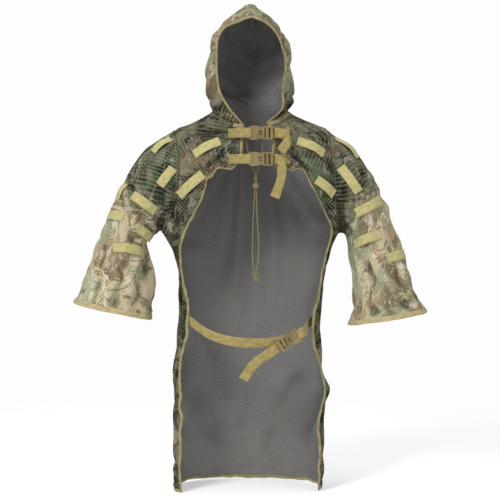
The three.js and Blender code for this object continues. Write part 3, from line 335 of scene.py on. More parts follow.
def front_grid(side):
    """Torso angles and levels of a front panel."""
    edge = [(NECK_ANGLE[side], 0.0)]
    edge += [locate(torso, side, side * x, z, TORSO_LIMITS) for x, z in EDGE_TOP[side][1:]]
    edge += [low_edge(row, side) for row in range(12, 20)]
    angles, levels = [], []
    for row in BODY_ROWS:
        end = side_param(row, side)
        start = low_edge(row, side) if row >= 12 else spline(edge, row)
        angles.append(start[0] + (end[0] - start[0]) * FRONT_COLS)
        levels.append(start[1] + (end[1] - start[1]) * FRONT_COLS)
    return np.array(angles), np.array(levels)


def girth_table(side):
    """Lengths round and down the torso, down counted from level 5."""
    angles, levels = np.meshgrid(np.linspace(-90, 90, 91), np.linspace(0, 14, 57))
    points = torso(angles, levels, side)
    down = arc_length(points, 0)
    return arc_length(points, 1), down - down[20:21]


GIRTH = {side: girth_table(side) for side in SIDES}


def torso_uv(angle, level, side):
    around, down = GIRTH[side]
    x, y = np.clip((angle + 90) / 2, 0, 89.999), np.clip(level * 4, 0, 55.999)
    i, j = np.floor(x).astype(int), np.floor(y).astype(int)
    fx, fy = x - i, y - j

    def blend(table):
        return ((table[j, i] * (1 - fx) + table[j, i + 1] * fx) * (1 - fy)
                + (table[j + 1, i] * (1 - fx) + table[j + 1, i + 1] * fx) * fy)
    return np.stack([side * blend(around), blend(down)], -1)


def half_angles(edge):
    """Angles from a front edge round to the back centre."""
    return np.concatenate([edge * (1 - FRONT_COLS), -90 * BACK_COLS[1:]])


def back_row(row, side):
    angle, level = side_param(row, side, True)
    return angle + (-90 - angle) * BACK_COLS, level


def tail_row(level, side):
    return half_angles(edge_angle(side, level)), level


def full_width(rows, row_of):
    """Points and UVs of a panel spanning both sides; row_of gives angles and level."""
    points, uvs = [], []
    for row in rows:
        right, left = [(*row_of(row, side), side) for side in SIDES]
        points.append(np.concatenate([torso(*right), torso(*left)[::-1][1:]]))
        right, left = [torso_uv(angles, np.full_like(angles, level), side)
                       for angles, level, side in (right, left)]
        uvs.append(np.concatenate([right, left[::-1][1:]]))
    return np.array(points), np.array(uvs)


def hood_rows(side, across):
    """The hood's rows at across: 0 face edge, 8 back centre."""
    return [spline(row, (len(row) - 1) * across / 8) for row in HOOD[side]]


def torso_out(points):
    return points * [1, 1, 0]


def hood_out(points):
    return unit(points - np.array([0, 10, 1100]))


def sleeve_out(side):
    def outward(points):
        ring = np.clip((940 - points[..., 2]) / 70, 0.2, 6.9)
        row = spline(SLEEVE[side], np.clip(ring - 1, 0, 6))
        middle = np.stack([side * (row[..., 0] + row[..., 2]) / 2, row[..., 5],
                           points[..., 2]], -1)
        return unit(points - middle)
    return outward


panels = {}


def panel(name, kind, outward, points, uv=None):
    if uv is None:
        uv = np.stack([arc_length(points, 1), arc_length(points, 0)], -1)
    panels[name] = dict(points=points, uv=uv, outward=outward, kind=kind)


for side, tag in SIDES.items():
    grid = front_grid(side)
    panel("front_panel_" + tag, "torso", torso_out, torso(*grid, side), torso_uv(*grid, side))
panel("back_panel", "torso", torso_out, *full_width(BODY_ROWS, back_row))
panel("tail_panel", "torso", torso_out, *full_width(TAIL_LEVELS, tail_row))
for side, tag in SIDES.items():
    panel("sleeve_" + tag, "sleeve", sleeve_out(side),
          sleeve(*np.meshgrid(TURNS, SLEEVE_ROWS), side))
for side, tag in SIDES.items():
    neck = NECK_ANGLE[side]
    angles = half_angles(neck)
    rows = hood_rows(side, 8 * (angles - neck) / (-90 - neck)) + [torso(angles, 0.0, side)]
    panel("hood_panel_" + tag, "hood", hood_out, spline(np.stack(rows), HOOD_ROWS))


# ---------------------------------------------------------------- one welded cloth
def kd_tree(points):
    tree = KDTree(len(points))
    for i, point in enumerate(points):
        tree.insert(point, i)
    tree.balance()
    return tree


def weld_points(points, reach=0.25):
    """Number of the welded vertex of each point, and how many there are."""
    tree = kd_tree(points)
    index = -np.ones(len(points), int)
    total = 0
    for i, point in enumerate(points):
        if index[i] < 0:
            for _, j, _ in tree.find_range(point, reach):
                if index[j] < 0:
                    index[j] = total
            total += 1
    return index, total


every_point = np.concatenate([part["points"].reshape(-1, 3) for part in panels.values()])
weld, COUNT = weld_points(every_point)
REST = np.zeros((COUNT, 3))                     # the designed shape, before folds
shared = np.zeros(COUNT)
np.add.at(REST, weld, every_point)
np.add.at(shared, weld, 1)
REST /= shared[:, None]

first = 0
faces = []
for part in panels.values():
    rows, cols = part["points"].shape[:2]
    ids = part["ids"] = weld[first:first + rows * cols].reshape(rows, cols)
    first += rows * cols
    quads = np.stack([ids[:-1, :-1], ids[1:, :-1], ids[1:, 1:], ids[:-1, 1:]], -1).reshape(-1, 4)
    a, b, c = (REST[quads[:, k]] for k in range(3))
    facing = np.cross(b - a, c - a) * part["outward"]((a + c) / 2)
    part["flip"] = float(facing.sum()) < 0
    faces.append(quads[:, ::-1] if part["flip"] else quads)
FACES = np.concatenate(faces)
TRIS = np.concatenate([FACES[:, [0, 1, 2]], FACES[:, [0, 2, 3]]])
links = np.sort(np.concatenate([FACES[:, [k, (k + 1) % 4]] for k in range(4)]), 1)
EDGES, uses = np.unique(links[links[:, 0] != links[:, 1]], axis=0, return_counts=True)
RIM = np.zeros(COUNT, bool)
RIM[EDGES[uses == 1].ravel()] = True


def normals(points):
    a, b, c, d = (points[FACES[:, k]] for k in range(4))
    face_normal = np.cross(c - a, d - b)
    total = np.zeros_like(points)
    for k in range(4):
        np.add.at(total, FACES[:, k], face_normal)
    return unit(total)


def smooth(values, rounds, strength=0.5, keep=None):
    """Average each vertex value with its neighbours'; keep marks those left alone."""
    values = values.copy()
    column = (-1,) + (1,) * (values.ndim - 1)
    degree = np.zeros(COUNT)
    np.add.at(degree, EDGES[:, 0], 1)
    np.add.at(degree, EDGES[:, 1], 1)
    weight = np.full(COUNT, strength)
    if keep is not None:
        weight[keep] = 0
    for _ in range(rounds):
        total = np.zeros_like(values)
        np.add.at(total, EDGES[:, 0], values[EDGES[:, 1]])
        np.add.at(total, EDGES[:, 1], values[EDGES[:, 0]])
        total /= np.maximum(degree, 1).reshape(column)
        values += (total - values) * weight.reshape(column)
    return values


def distance_to(ids):
    tree = kd_tree(REST[ids])
    return np.array([tree.find(point)[2] for point in REST])


def off_segment(points, start, end):
    """Distance of points from the segment start-end."""
    line = end - start
    t = np.clip(((points - start) @ line) / (line @ line), 0, 1)
    return np.linalg.norm(points - start - t[:, None] * line, axis=1)


def ids_of(name):
    return panels[name]["ids"]


# seam lines, where panels are sewn together
SEAM_IDS = {
    "arm": np.concatenate([ids_of("sleeve_" + tag)[0] for tag in SIDES.values()]),
    "neck": np.concatenate([ids_of("hood_panel_" + tag)[-1] for tag in SIDES.values()]),
    "crown": ids_of("hood_panel_left")[:, -1],
    "side": np.concatenate([ids_of("front_panel_" + tag)[:, -1] for tag in SIDES.values()])}
seam_gap = {name: distance_to(ids) for name, ids in SEAM_IDS.items()}
seam_near = np.minimum.reduce(list(seam_gap.values()))
rim_gap = distance_to(np.nonzero(RIM)[0])

# ---------------------------------------------------------------- where webbing is sewn on
# Loop straps: name, (x, z) of both ends seen from the front, rise of the loop.
LOOP_TABLE = [
    ("chest_upper_right", (-143, 869), (-77, 902), 5),
    ("chest_lower_right", (-181, 763), (-120, 817), 5),
    ("chest_upper_left", (122, 904), (190, 873), 5),
    ("chest_lower_left", (170, 806), (212, 768), 5),
    ("shoulder_right", (-203, 925), (-252, 878), 5),
    ("upper_arm_right", (-196, 835), (-233, 790), 5),
    ("outer_elbow_right", (-366, 715), (-326, 708), 4),
    ("elbow_right", (-304, 767), (-244, 724), 5),
    ("inner_arm_right", (-292, 682), (-258, 650), 4),
    ("forearm_right", (-352, 630), (-275, 614), 5),
    ("upper_arm_left", (234, 838), (280, 774), 5),
    ("elbow_left", (270, 718), (340, 752), 5),
    ("inner_arm_left", (270, 636), (335, 665), 5),
    ("forearm_left", (351, 601), (402, 614), 5)]


def side_of(name):
    return -1 if name.endswith("right") else 1


def loop_end(name, x, z):
    surface, limits = ((torso, TORSO_LIMITS) if name.startswith("chest")
                       else (sleeve, SLEEVE_LIMITS))
    side = side_of(name)
    return surface(*locate(surface, side, x, z, limits), side)


LOOPS = [(name, loop_end(name, *start), loop_end(name, *end), rise)
         for name, start, end, rise in LOOP_TABLE]
LOOPS += [("outer_arm_right", sleeve(30, 2.6, -1), sleeve(29, 3.1, -1), 3),
          ("shoulder_left", sleeve(24, 0.5, 1), sleeve(27, 1.85, 1), 5)]
sewn_gap = np.full(COUNT, 1e9)
for _, start, end, _ in LOOPS:
    sewn_gap = np.minimum(sewn_gap, off_segment(REST, start, end))
flat = 0.22 + 0.78 * step((sewn_gap - 13) / 26)     # webbing holds the cloth flat under it


# ---------------------------------------------------------------- folds
def crease(points, sharp, seed):
    """1 along wandering lines where the noise crosses zero, falling off beside them."""
    return step(1 - np.abs(fbm(points, seed=seed)) * sharp)


def torso_folds(part):
    run, down = (part["uv"][..., k].ravel() for k in (0, 1))
    fold = (3.6 * fbm(vec(run / 62, down / 150, 1.5), seed=3)
            + 1.5 * fbm(vec(run / 27, down / 56), seed=9))
    fold = fold - 2.4 * crease(vec(run / 58 + down / 90, down / 120, 4), 3.2, 13)
    # below the waist the cloth hangs in deeper upright folds
    low = step((620 - part["points"][..., 2].ravel()) / 200)
    waver = 1.6 * noise(vec(run / 90, down / 160), 21)
    return fold * (1 + 0.5 * low) + 3.0 * low * np.sin(run / 21 + waver)


def sleeve_folds(part):
    down = part["uv"][..., 1].ravel()
    side = 1 if part is panels["sleeve_left"] else -1
    grow = step(down / 120)
    turn = np.tile(TURNS * RAD, len(SLEEVE_ROWS))
    cos, sin = np.cos(turn), np.sin(turn)
    fold = (grow * 5.4 * fbm(vec(cos * 2.6, sin * 2.6, down / 150 + 7 * side), 1, 31)
            + 1.2 * fbm(vec(cos * 6, sin * 6, down / 38), seed=41))
    lines = vec(cos * 2.2 + down / 160, sin * 2.2, down / 130 + 3 * side)
    return fold - 2.6 * grow * crease(lines, 3.4, 47)


def hood_folds(part):
    run, down = (part["uv"][..., k].ravel() for k in (0, 1))
    points = part["points"].reshape(-1, 3)
    fold = 2.6 * fbm(points / 50, seed=51) + 0.9 * fbm(points / 24, seed=61)
    fold = fold - 2.2 * crease(points / [70, 70, 110], 3.4, 57)
    # gathers along the face edge
    gather = np.exp(-run / 30) * step(run / 8)
    return fold + 2.4 * gather * np.sin(down / 5.2 + 2.2 * noise(vec(down / 40), 71))


FOLDS = {"torso": torso_folds, "sleeve": sleeve_folds, "hood": hood_folds}
fold = np.zeros(COUNT)
np.add.at(fold, weld, np.concatenate([FOLDS[part["kind"]](part) for part in panels.values()]))
fold /= shared
fold = fold * step(np.minimum.reduce([seam_gap[key] for key in ("arm", "neck", "crown")]) / 26)

# Grooves seen from the front: x, z of the start, x, z of the end, width, depth.
FRONT_GROOVES = [
    # right chest and armpit
    (-190, 800, -207, 650, 10, 8), (-228, 815, -238, 672, 11, 9), (-166, 770, -190, 650, 9, 5),
    (-70, 872, -165, 806, 6, 5.5), (-66, 850, -118, 812, 5, 4.5), (-92, 905, -178, 868, 6, 4),
    (-60, 930, -150, 925, 6, 4), (-250, 845, -226, 760, 8, 6),
    # left chest and armpit
    (198, 800, 208, 655, 10, 7), (234, 815, 240, 672, 11, 8), (92, 880, 178, 815, 6, 5),
    (88, 850, 150, 822, 5, 4), (96, 906, 190, 880, 6, 4), (70, 930, 150, 930, 6, 4),
    (262, 850, 236, 770, 8, 6),
    # sleeves
    (-309, 800, -258, 640, 9, 10), (-284, 820, -250, 700, 8, 6), (-338, 760, -300, 640, 9, 6),
    (-312, 625, -345, 450, 14, 5.2), (-278, 600, -292, 450, 13, 4), (-372, 640, -408, 480, 14, 7),
    (-345, 820, -290, 760, 9, 5),
    (346, 790, 325, 650, 9, 9), (300, 830, 262, 700, 8, 7), (290, 700, 262, 640, 7, 5),
    (365, 640, 402, 470, 14, 5.5), (305, 600, 318, 430, 13, 5), (402, 660, 438, 490, 12, 6),
    (345, 830, 300, 770, 9, 5)]
BACK_GROOVES = [
    (-60, 900, -170, 700, 12, 6), (60, 900, 175, 700, 12, 6), (-20, 780, -40, 560, 14, 5),
    (70, 760, 60, 520, 14, 5), (-300, 780, -262, 640, 10, 8), (310, 780, 268, 640, 10, 8),
    (-340, 600, -390, 460, 14, 7), (340, 600, 390, 460, 14, 7)]
wobble = 4.0 * noise(vec(REST[:, 0] / 37, REST[:, 2] / 37), 5)


def groove(x0, z0, x1, z1, width, depth):
    """A valley along a line in the XZ plane, with a soft ridge on each side."""
    line = np.array([x1 - x0, z1 - z0], float)
    length = np.hypot(*line)
    from_start = REST[:, [0, 2]] - [x0, z0]
    t = np.clip((from_start @ line) / (length * length), -0.15, 1.15)
    off = (from_start[:, 0] * line[1] - from_start[:, 1] * line[0]) / length + wobble
    ends = step((t + 0.15) / 0.3) * step((1.15 - t) / 0.3)
    off = off / width
    shape = -bell(off) + 0.55 * np.exp(-((np.abs(off) - 1.75) ** 2) * 1.3)
    return depth * shape * ends


# table, factor on its depths, weight that keeps it to the front or the back
for table, deepen, on_side in (
        (FRONT_GROOVES, 1.55, step((22 - REST[:, 1]) / 36)),
        (BACK_GROOVES, 1.4, step((REST[:, 1] + 5) / 30))):
    for *line, depth in table:
        fold += groove(*line, depth * deepen) * on_side
fold *= flat

# the designed shape is softened, most of all at the shoulder peaks
soft = smooth(REST, 10, 0.5, RIM)
peak_gap = np.minimum(*[np.linalg.norm(REST - peak, axis=1)
                        for peak in ([205, 0, 940], [-203, 0, 940])])
soft = smooth(soft, 60, 0.5, RIM | (peak_gap > 75))
soft[:, 2] += 13 * bell(REST[:, 0] / 34) * step((REST[:, 2] - 1205) / 45)   # hood peak
hold = step(np.minimum(1, rim_gap / 30)) * 0.75 + 0.25
folded = smooth(soft + normals(soft) * (fold * hold)[:, None], 1, 0.3, RIM)

# cut edges wander a little, less by the chest straps and cuffs
wander = (np.stack([noise(REST / 31, seed) for seed in (101, 102, 103)], -1) * [1, 1.4, 1] * 2.8
          + np.stack([noise(REST / 13, seed) for seed in (104, 105, 106)], -1) * 0.9)
side_x = np.abs(REST[:, 0])
cuffs = step((side_x - 235) / 20)
near_strap = step((200 - side_x) / 60) * step((REST[:, 2] - 844) / 16)
# the front edge puckers below the lower chest strap
pucker = (step((185 - side_x) / 30) * step((REST[:, 2] - 770) / 30)
          * step((858 - REST[:, 2]) / 12) * step(-REST[:, 1] / 20))
wave = REST[:, 0] / 6.4 + 2.4 * noise(REST / 44, 107)
wander[:, 2] += 6.2 * pucker * np.sin(wave)
wander[:, 1] += 3.0 * pucker * np.cos(wave * 0.9)
loose = np.exp(-rim_gap / 16) * (1 - 0.75 * near_strap) * (1 - 0.72 * cuffs)
folded = folded + wander * loose[:, None]

# ---------------------------------------------------------------- cloth settling
SIM_FRAMES = 16
CLOTH_SETTINGS = dict(
    quality=5, mass=0.15, tension_stiffness=12, compression_stiffness=12, shear_stiffness=4,
    bending_stiffness=0.12, tension_damping=6, compression_damping=6, air_damping=3,
    vertex_group_mass="pin", pin_stiffness=0.35, shrink_min=-0.035)


def settle(points):
    """The points after a short cloth simulation, held at rims and seams."""
    mesh = bpy.data.meshes.new("settle")
    polys = [tuple(int(k) for k in dict.fromkeys(face)) for face in FACES if len(set(face)) > 2]
    mesh.from_pydata([tuple(point) for point in points / 1000], [], polys)
    obj = bpy.data.objects.new("settle", mesh)
    scene = bpy.context.scene
    scene.collection.objects.link(obj)
    group = obj.vertex_groups.new(name="pin")
    pin = np.maximum(0.10, 1 - step(rim_gap / 14))
    pin = np.maximum(pin, 0.7 * (1 - step(seam_gap["neck"] / 12)))
    pin = np.maximum(pin, 0.55 * (1 - step(seam_gap["arm"] / 8)))
    for level in np.linspace(0, 1, 11):
        ids = np.nonzero(np.abs(pin - level) <= 0.05)[0]
        if len(ids):
            group.add([int(i) for i in ids], float(level), "REPLACE")
    cloth = obj.modifiers.new("cloth", "CLOTH")
    for key, value in CLOTH_SETTINGS.items():
        setattr(cloth.settings, key, value)
    cloth.collision_settings.use_self_collision = False
    cloth.collision_settings.use_collision = False
    scene.frame_start, scene.frame_end = 1, SIM_FRAMES
    cloth.point_cache.frame_start, cloth.point_cache.frame_end = 1, SIM_FRAMES
    for number in range(1, SIM_FRAMES + 1):
        scene.frame_set(number)
    settled = obj.evaluated_get(bpy.context.evaluated_depsgraph_get())
    places = np.empty(len(mesh.vertices) * 3)
    settled.to_mesh().vertices.foreach_get("co", places)
    settled.to_mesh_clear()
    bpy.data.objects.remove(obj)
    bpy.data.meshes.remove(mesh)
    scene.frame_set(1)
    return places.reshape(-1, 3) * 1000


DRAPED = folded
drift = settle(folded) - folded
# a simulation that blew up is left out
if np.isfinite(np.linalg.norm(drift, axis=1)).all():
    # the hang of the cloth keeps its own pattern; only the creases that form are taken
    fine = drift - smooth(drift, 34, 0.5)
    size = np.linalg.norm(fine, axis=1, keepdims=True)
    limit = np.minimum(1, 8 / np.maximum(size, 1e-6))
    DRAPED = smooth(folded + 0.75 * flat[:, None] * fine * limit, 2, 0.45, RIM)
NORMALS = normals(DRAPED)

# Depth below the surrounding cloth, used as shade.
off_rim = 1 - np.exp(-rim_gap / 9)
valley = -((DRAPED - smooth(DRAPED, 14, 0.5)) * NORMALS).sum(1) * off_rim
valley = smooth(valley, 1, 0.4)
# Lines of painted shade by armpits, elbows and chest, and one line of painted highlight on the
# right sleeve where the strength is negative: x, z, x, z, width, strength.
SHADE_LINES = [
    (-207, 838, -226, 668, 12, 4.6), (-191, 790, -188, 655, 8, 3.0),
    (-312, 800, -286, 655, 7, 2.6), (-330, 815, -302, 690, 6, -2.0),
    (212, 838, 232, 668, 12, 4.4), (240, 770, 246, 668, 8, 3.0), (318, 800, 300, 640, 7, 2.0),
    (-92, 895, -165, 800, 5, 1.6), (96, 890, 176, 800, 5, 1.6),
    (-70, 925, -170, 915, 5, 1.4), (75, 925, 165, 915, 5, 1.4)]
shade_wobble = 3.0 * noise(REST / 28, 131)
shown = step(-NORMALS[:, 1] / 0.35) * step((sewn_gap - 11) / 6) * off_rim
for x0, z0, x1, z1, width, strength in SHADE_LINES:
    off = off_segment(REST[:, [0, 2]], np.array([x0, z0], float), np.array([x1, z1], float))
    valley = valley + strength * bell((off + shade_wobble) / width) * shown

# a felled seam stands a little proud of the cloth
raised = 1.0 * step((9.0 - seam_near) / 3.0) - 1.2 * step((2.2 - seam_near) / 2.0)
OUTER = DRAPED + NORMALS * raised[:, None]


def ray_tree(points):
    return BVHTree.FromPolygons([Vector(point) for point in points],
                                [tuple(int(k) for k in corners) for corners in TRIS])


DRAPED_TREE = ray_tree(DRAPED)
REST_TREE = ray_tree(REST)


def carry(point):
    """Where a point of the designed surface went on the draped cloth, and its normal."""
    nearest, _, index, _ = REST_TREE.find_nearest(Vector(point))
    corners = TRIS[index]
    a, b, c = REST[corners]
    ab, ac, ap = b - a, c - a, np.array(nearest) - a
    bb, bc, cc, pb, pc = ab @ ab, ab @ ac, ac @ ac, ap @ ab, ap @ ac
    area = bb * cc - bc * bc
    if abs(area) < 1e-9:
        weights = np.array([1, 0, 0.0])
    else:
        to_b = (cc * pb - bc * pc) / area
        to_c = (bb * pc - bc * pb) / area
        weights = np.array([1 - to_b - to_c, to_b, to_c])
    return weights @ DRAPED[corners], unit(weights @ NORMALS[corners])


# ---------------------------------------------------------------- node helpers
def srgb(*channels):
    """Linear colour from 0-255 sRGB channels."""
    def linear(c):
        return (c / 255 / 12.92) if c / 255 <= 0.04045 else ((c / 255 + 0.055) / 1.055) ** 2.4
    return (*map(linear, channels), 1.0)


class Material:
    """A Principled material with short helpers for its nodes."""

    def __init__(self, name):
        self.data = bpy.data.materials.new(name)
        self.data.use_nodes = True
        self.tree = self.data.node_tree
        self.tree.nodes.clear()
        self.output = self.node("OutputMaterial")
        self.shader = self.node("BsdfPrincipled")
        self.set(self.output.inputs[0], self.shader.outputs[0])

    def set(self, socket, value):
        if isinstance(value, bpy.types.NodeSocket):
            self.tree.links.new(value, socket)
        else:
            socket.default_value = value

    def node(self, kind, inputs=None, **settings):
        new = self.tree.nodes.new("ShaderNode" + kind)
        for key, value in settings.items():
            setattr(new, key, value)
        for key, value in (inputs or {}).items():
            self.set(new.inputs[key], value)
        return new

    def math(self, operation, a, b=0.0):
        return self.node("Math", {0: a, 1: b}, operation=operation).outputs[0]

    def add(self, a, b):
        return self.math("ADD", a, b)

    def sub(self, a, b):
        return self.math("SUBTRACT", a, b)

    def mul(self, a, b):
        return self.math("MULTIPLY", a, b)

    def absolute(self, value):
        return self.math("ABSOLUTE", value)

    def gap(self, value, centre):
        return self.absolute(self.sub(value, centre))

    def sine(self, value, period):
        return self.math("SINE", self.mul(value, 2 * math.pi / period))

    def map(self, vector, scale, rot=(0, 0, 0), loc=(0, 0, 0)):
        return self.node("Mapping", {"Vector": vector, "Scale": scale, "Rotation": rot,
                                     "Location": loc}).outputs[0]

    def noise(self, vector, scale, loc=(0, 0, 0), detail=2.0, rough=0.5, distort=0.0):
        return self.node("TexNoise", {
            "Vector": self.map(vector, scale, loc=loc), "Scale": 1.0, "Detail": detail,
            "Roughness": rough, "Distortion": distort}).outputs["Fac"]

    def attr(self, name, output="Fac"):
        return self.node("Attribute", attribute_name=name).outputs[output]

    def uv(self, name="UVMap"):
        return self.node("UVMap", uv_map=name).outputs[0]

    def object_place(self):
        return self.node("TexCoord").outputs["Object"]

    def xyz(self, vector):
        return self.node("SeparateXYZ", {0: vector}).outputs

    def ramp(self, value, low, high):
        """Smooth step from 0 at low to 1 at high; low may be the larger."""
        return self.node("MapRange", {"Value": value, "From Min": low, "From Max": high},
                         interpolation_type="SMOOTHSTEP").outputs[0]

    def mix(self, share, a, b, blend="MIX"):
        return self.node("Mix", {0: share, 6: a, 7: b}, data_type="RGBA",
                         blend_type=blend).outputs[2]

    def over(self, base, mask, colour, amount, blend="MIX"):
        """Lay a colour over base where mask is 1, at the strength amount."""
        return self.mix(self.mul(mask, amount), base, colour, blend)

    def bump(self, height, strength, distance):
        return self.node("Bump", {"Strength": strength, "Distance": distance,
                                  "Height": height}).outputs[0]

    def finish(self, colour, rough, spec, normal=None, sheen=0.0, metal=0.0):
        values = {"Base Color": colour, "Roughness": rough, "Specular IOR Level": spec,
                  "Metallic": metal}
        if sheen:
            values.update({"Sheen Weight": sheen, "Sheen Roughness": 0.6})
        if normal is not None:
            values["Normal"] = normal
        for key, value in values.items():
            self.set(self.shader.inputs[key], value)
        return self.data


# ---------------------------------------------------------------- materials
HOLE_PITCH = 7.2


def mesh_holes(mat):
    """Diamond lattice of holes knitted into the mesh cloth, UV in mm."""
    grid = mat.map(mat.uv(), scale=(1 / HOLE_PITCH, 1 / HOLE_PITCH, 1), rot=(0, 0, math.pi / 4))
    cells = mat.node("TexVoronoi", {"Vector": grid, "Scale": 1.0, "Randomness": 0.0},
                     voronoi_dimensions="2D").outputs["Distance"]
    facing = mat.node("LayerWeight").outputs["Facing"]
    return mat.mul(mat.ramp(cells, low=0.34, high=0.22), mat.ramp(facing, low=0.66, high=0.22))


def camo(name, light):
    """Printed mesh; light is the sleeve print that fades paler down the arm."""
    mat = Material(name)
    ramp, over = mat.ramp, mat.over
    rest = mat.attr("rest", "Vector")
    x, _, z = mat.xyz(rest)

    def rest_noise(**settings):
        return mat.noise(rest, **settings)

    def line(field, low, high):
        """Thin lines where the field crosses its middle value."""
        return ramp(mat.gap(field, 0.5), low=low, high=high)

    if light:
        # the dark shoulder print runs lower towards the armpit
        inward = mat.mul(mat.sub(0.30, mat.absolute(x)), 1.15)
        inward = mat.math("MINIMUM", mat.math("MAXIMUM", inward, -0.04), 0.10)
        soft = rest_noise(scale=(7, 7, 7), loc=(4, 4, 4))
        level = mat.add(mat.add(z, inward), mat.mul(mat.sub(soft, 0.5), 0.20))
        fade = ramp(level, low=0.80, high=0.665)
    else:
        # paler patches, and a paler hood
        patches = ramp(rest_noise(scale=(6, 6, 5), loc=(2, 9, 1)), low=0.52, high=0.74)
        hood = ramp(z, low=0.985, high=1.05)
        fade = mat.add(mat.mul(patches, 0.30), mat.mul(hood, 0.62))

    def tone(full, faded):
        return mat.mix(fade, srgb(*full), srgb(*faded))

    zone = rest_noise(scale=(6.5, 6.5, 5), loc=(0.4, 0.2, 0.7), detail=1.5, distort=0.4)
    colour = mat.mix(ramp(zone, low=0.42, high=0.56), tone((76, 82, 62), (170, 172, 142)),
                     tone((98, 92, 73), (196, 180, 149)))
    # leaf-green patches
    green = rest_noise(scale=(11, 11, 7) if light else (13, 13, 10), loc=(3, 1, 7),
                       detail=3.5, rough=0.55, distort=0.8)
    colour = over(colour, ramp(green, low=0.535, high=0.56),
                  tone((62, 78, 54), (146, 152, 122)), amount=0.9)
    # earth-brown patches
    brown = rest_noise(scale=(10, 10, 7.5) if light else (10, 10, 15), loc=(11, 5, 2),
                       detail=3.5, rough=0.55, distort=1.0)
    colour = over(colour, ramp(brown, low=0.565, high=0.585),
                  tone((82, 71, 54), (172, 148, 118)), amount=0.92)
    # dark branching shapes
    dark = tone((24, 25, 21), (122, 108, 84))
    twig = rest_noise(scale=(9, 9, 20), loc=(1, 8, 4), detail=4.0, rough=0.6, distort=1.3)
    where = rest_noise(scale=(9, 9, 9), loc=(9, 2, 3), detail=1.0)
    mask = mat.mul(line(twig, low=0.042, high=0.024), ramp(where, low=0.48, high=0.53))
    colour = over(colour, mask, dark, amount=0.92)
    blot = rest_noise(scale=(24, 24, 11), loc=(5, 3, 9), detail=4.0, rough=0.6, distort=1.5)
    colour = over(colour, ramp(blot, low=0.578, high=0.60), dark, amount=0.9)
    blot = rest_noise(scale=(13, 13, 15) if light else (10, 10, 24), loc=(8, 3, 5),
                      detail=4.0, rough=0.6, distort=1.2)
    low, high = (0.585, 0.605) if light else (0.528, 0.545)
    colour = over(colour, ramp(blot, low=low, high=high),
                  tone((24, 26, 20), (138, 122, 94)), amount=0.88)
    # pale flecks and twigs
    pale = tone((142, 140, 118), (222, 212, 184))
    fleck = rest_noise(scale=(28, 28, 15), loc=(2, 7, 5), detail=4.0, rough=0.62, distort=1.3)
    colour = over(colour, ramp(fleck, low=0.612, high=0.635), pale, amount=0.8 if light else 0.6)
    twig = rest_noise(scale=(16, 16, 9), loc=(6, 1, 8), detail=4.0, rough=0.6, distort=1.5)
    where = rest_noise(scale=(11, 11, 11), loc=(2, 2, 8), detail=1.0)
    mask = mat.mul(line(twig, low=0.016, high=0.008), ramp(where, low=0.53, high=0.57))
    colour = over(colour, mask, pale, amount=0.75 if light else 0.4)
    # open holes of the mesh read mid grey against the cloth
    holes = mesh_holes(mat)
    colour = over(colour, holes, tone((160, 160, 138), (108, 99, 78)),
                  amount=0.44 if light else 0.42)
    # cloth lies in its own shade at the bottom of a fold
    fold_shade = mat.attr("fold_shade")
    colour = over(colour, ramp(fold_shade, low=0.3, high=3.6), tone((20, 21, 17), (58, 52, 38)),
                  amount=0.60 if light else 0.76)
    # painted highlight: the printed cloth is made paler on the ridges of the folds
    colour = over(colour, ramp(fold_shade, low=-0.4, high=-4.5), srgb(214, 208, 182), amount=0.16)
    # a stitched line beside each seam and a dark line on it
    seam = mat.attr("seam")
    colour = over(colour, ramp(mat.gap(seam, 5.5), low=1.3, high=0.3), srgb(132, 126, 96),
                  amount=0.5)
    colour = over(colour, ramp(seam, low=1.8, high=0.2), srgb(46, 46, 36), amount=0.5)
    soil = rest_noise(scale=(30, 30, 30), detail=5.0, rough=0.65)
    colour = over(colour, ramp(soil, low=0.38, high=0.62), srgb(200, 196, 176), amount=0.16,
                  blend="MULTIPLY")
    yarn = mat.noise(mat.uv(), scale=(0.5, 0.5, 1), detail=3.0, rough=0.6)
    height = mat.add(mat.mul(holes, -0.7), mat.mul(yarn, 0.6))
    return mat.finish(colour, rough=0.9, spec=0.08,
                      normal=mat.bump(height, strength=0.30, distance=0.0010))


def inner_cloth(name, facing):
    """Unprinted inner face: grey yarn with a diagonal rib; facing adds an edge tape."""
    mat = Material(name)
    ramp, over = mat.ramp, mat.over
    uv = mat.uv()
    wave = mat.node("TexWave", {"Vector": mat.map(uv, scale=(1, 1, 1)), "Scale": 0.10,
                                "Distortion": 0.8, "Detail": 1.0},
                    wave_type="BANDS", bands_direction="DIAGONAL")
    rib = ramp(wave.outputs["Fac"], low=0.25, high=0.8)
    holes = mesh_holes(mat)
    large = mat.noise(mat.attr("rest", "Vector"), scale=(8, 8, 8), detail=3.0, rough=0.6,
                      distort=0.4)
    colour = mat.mix(rib, srgb(102, 101, 101), srgb(124, 123, 122))
    colour = over(colour, ramp(large, low=0.35, high=0.7), srgb(112, 109, 101), amount=0.6)
    colour = over(colour, holes, srgb(178, 178, 176), amount=0.30)
    # painted shade: the inner face is darkened where it lies in a fold
    colour = over(colour, ramp(mat.attr("fold_shade"), low=1.0, high=7.0), srgb(44, 43, 43),
                  amount=0.22)
    if facing:
        run, down, _ = mat.xyz(uv)
        twill = mat.sine(mat.add(run, down), period=2.8)
        tape = mat.mix(ramp(twill, low=-0.4, high=0.7), srgb(150, 128, 78), srgb(186, 166, 112))
        colour = mat.mix(ramp(run, low=27.0, high=26.0), colour, tape)
        stitch = ramp(mat.gap(run, 24.0), low=1.2, high=0.3)
        colour = over(colour, stitch, srgb(110, 96, 58), amount=0.5)
    height = mat.add(rib, mat.mul(holes, -0.6))
    return mat.finish(colour, rough=0.9, spec=0.15,
                      normal=mat.bump(height, strength=0.35, distance=0.001))


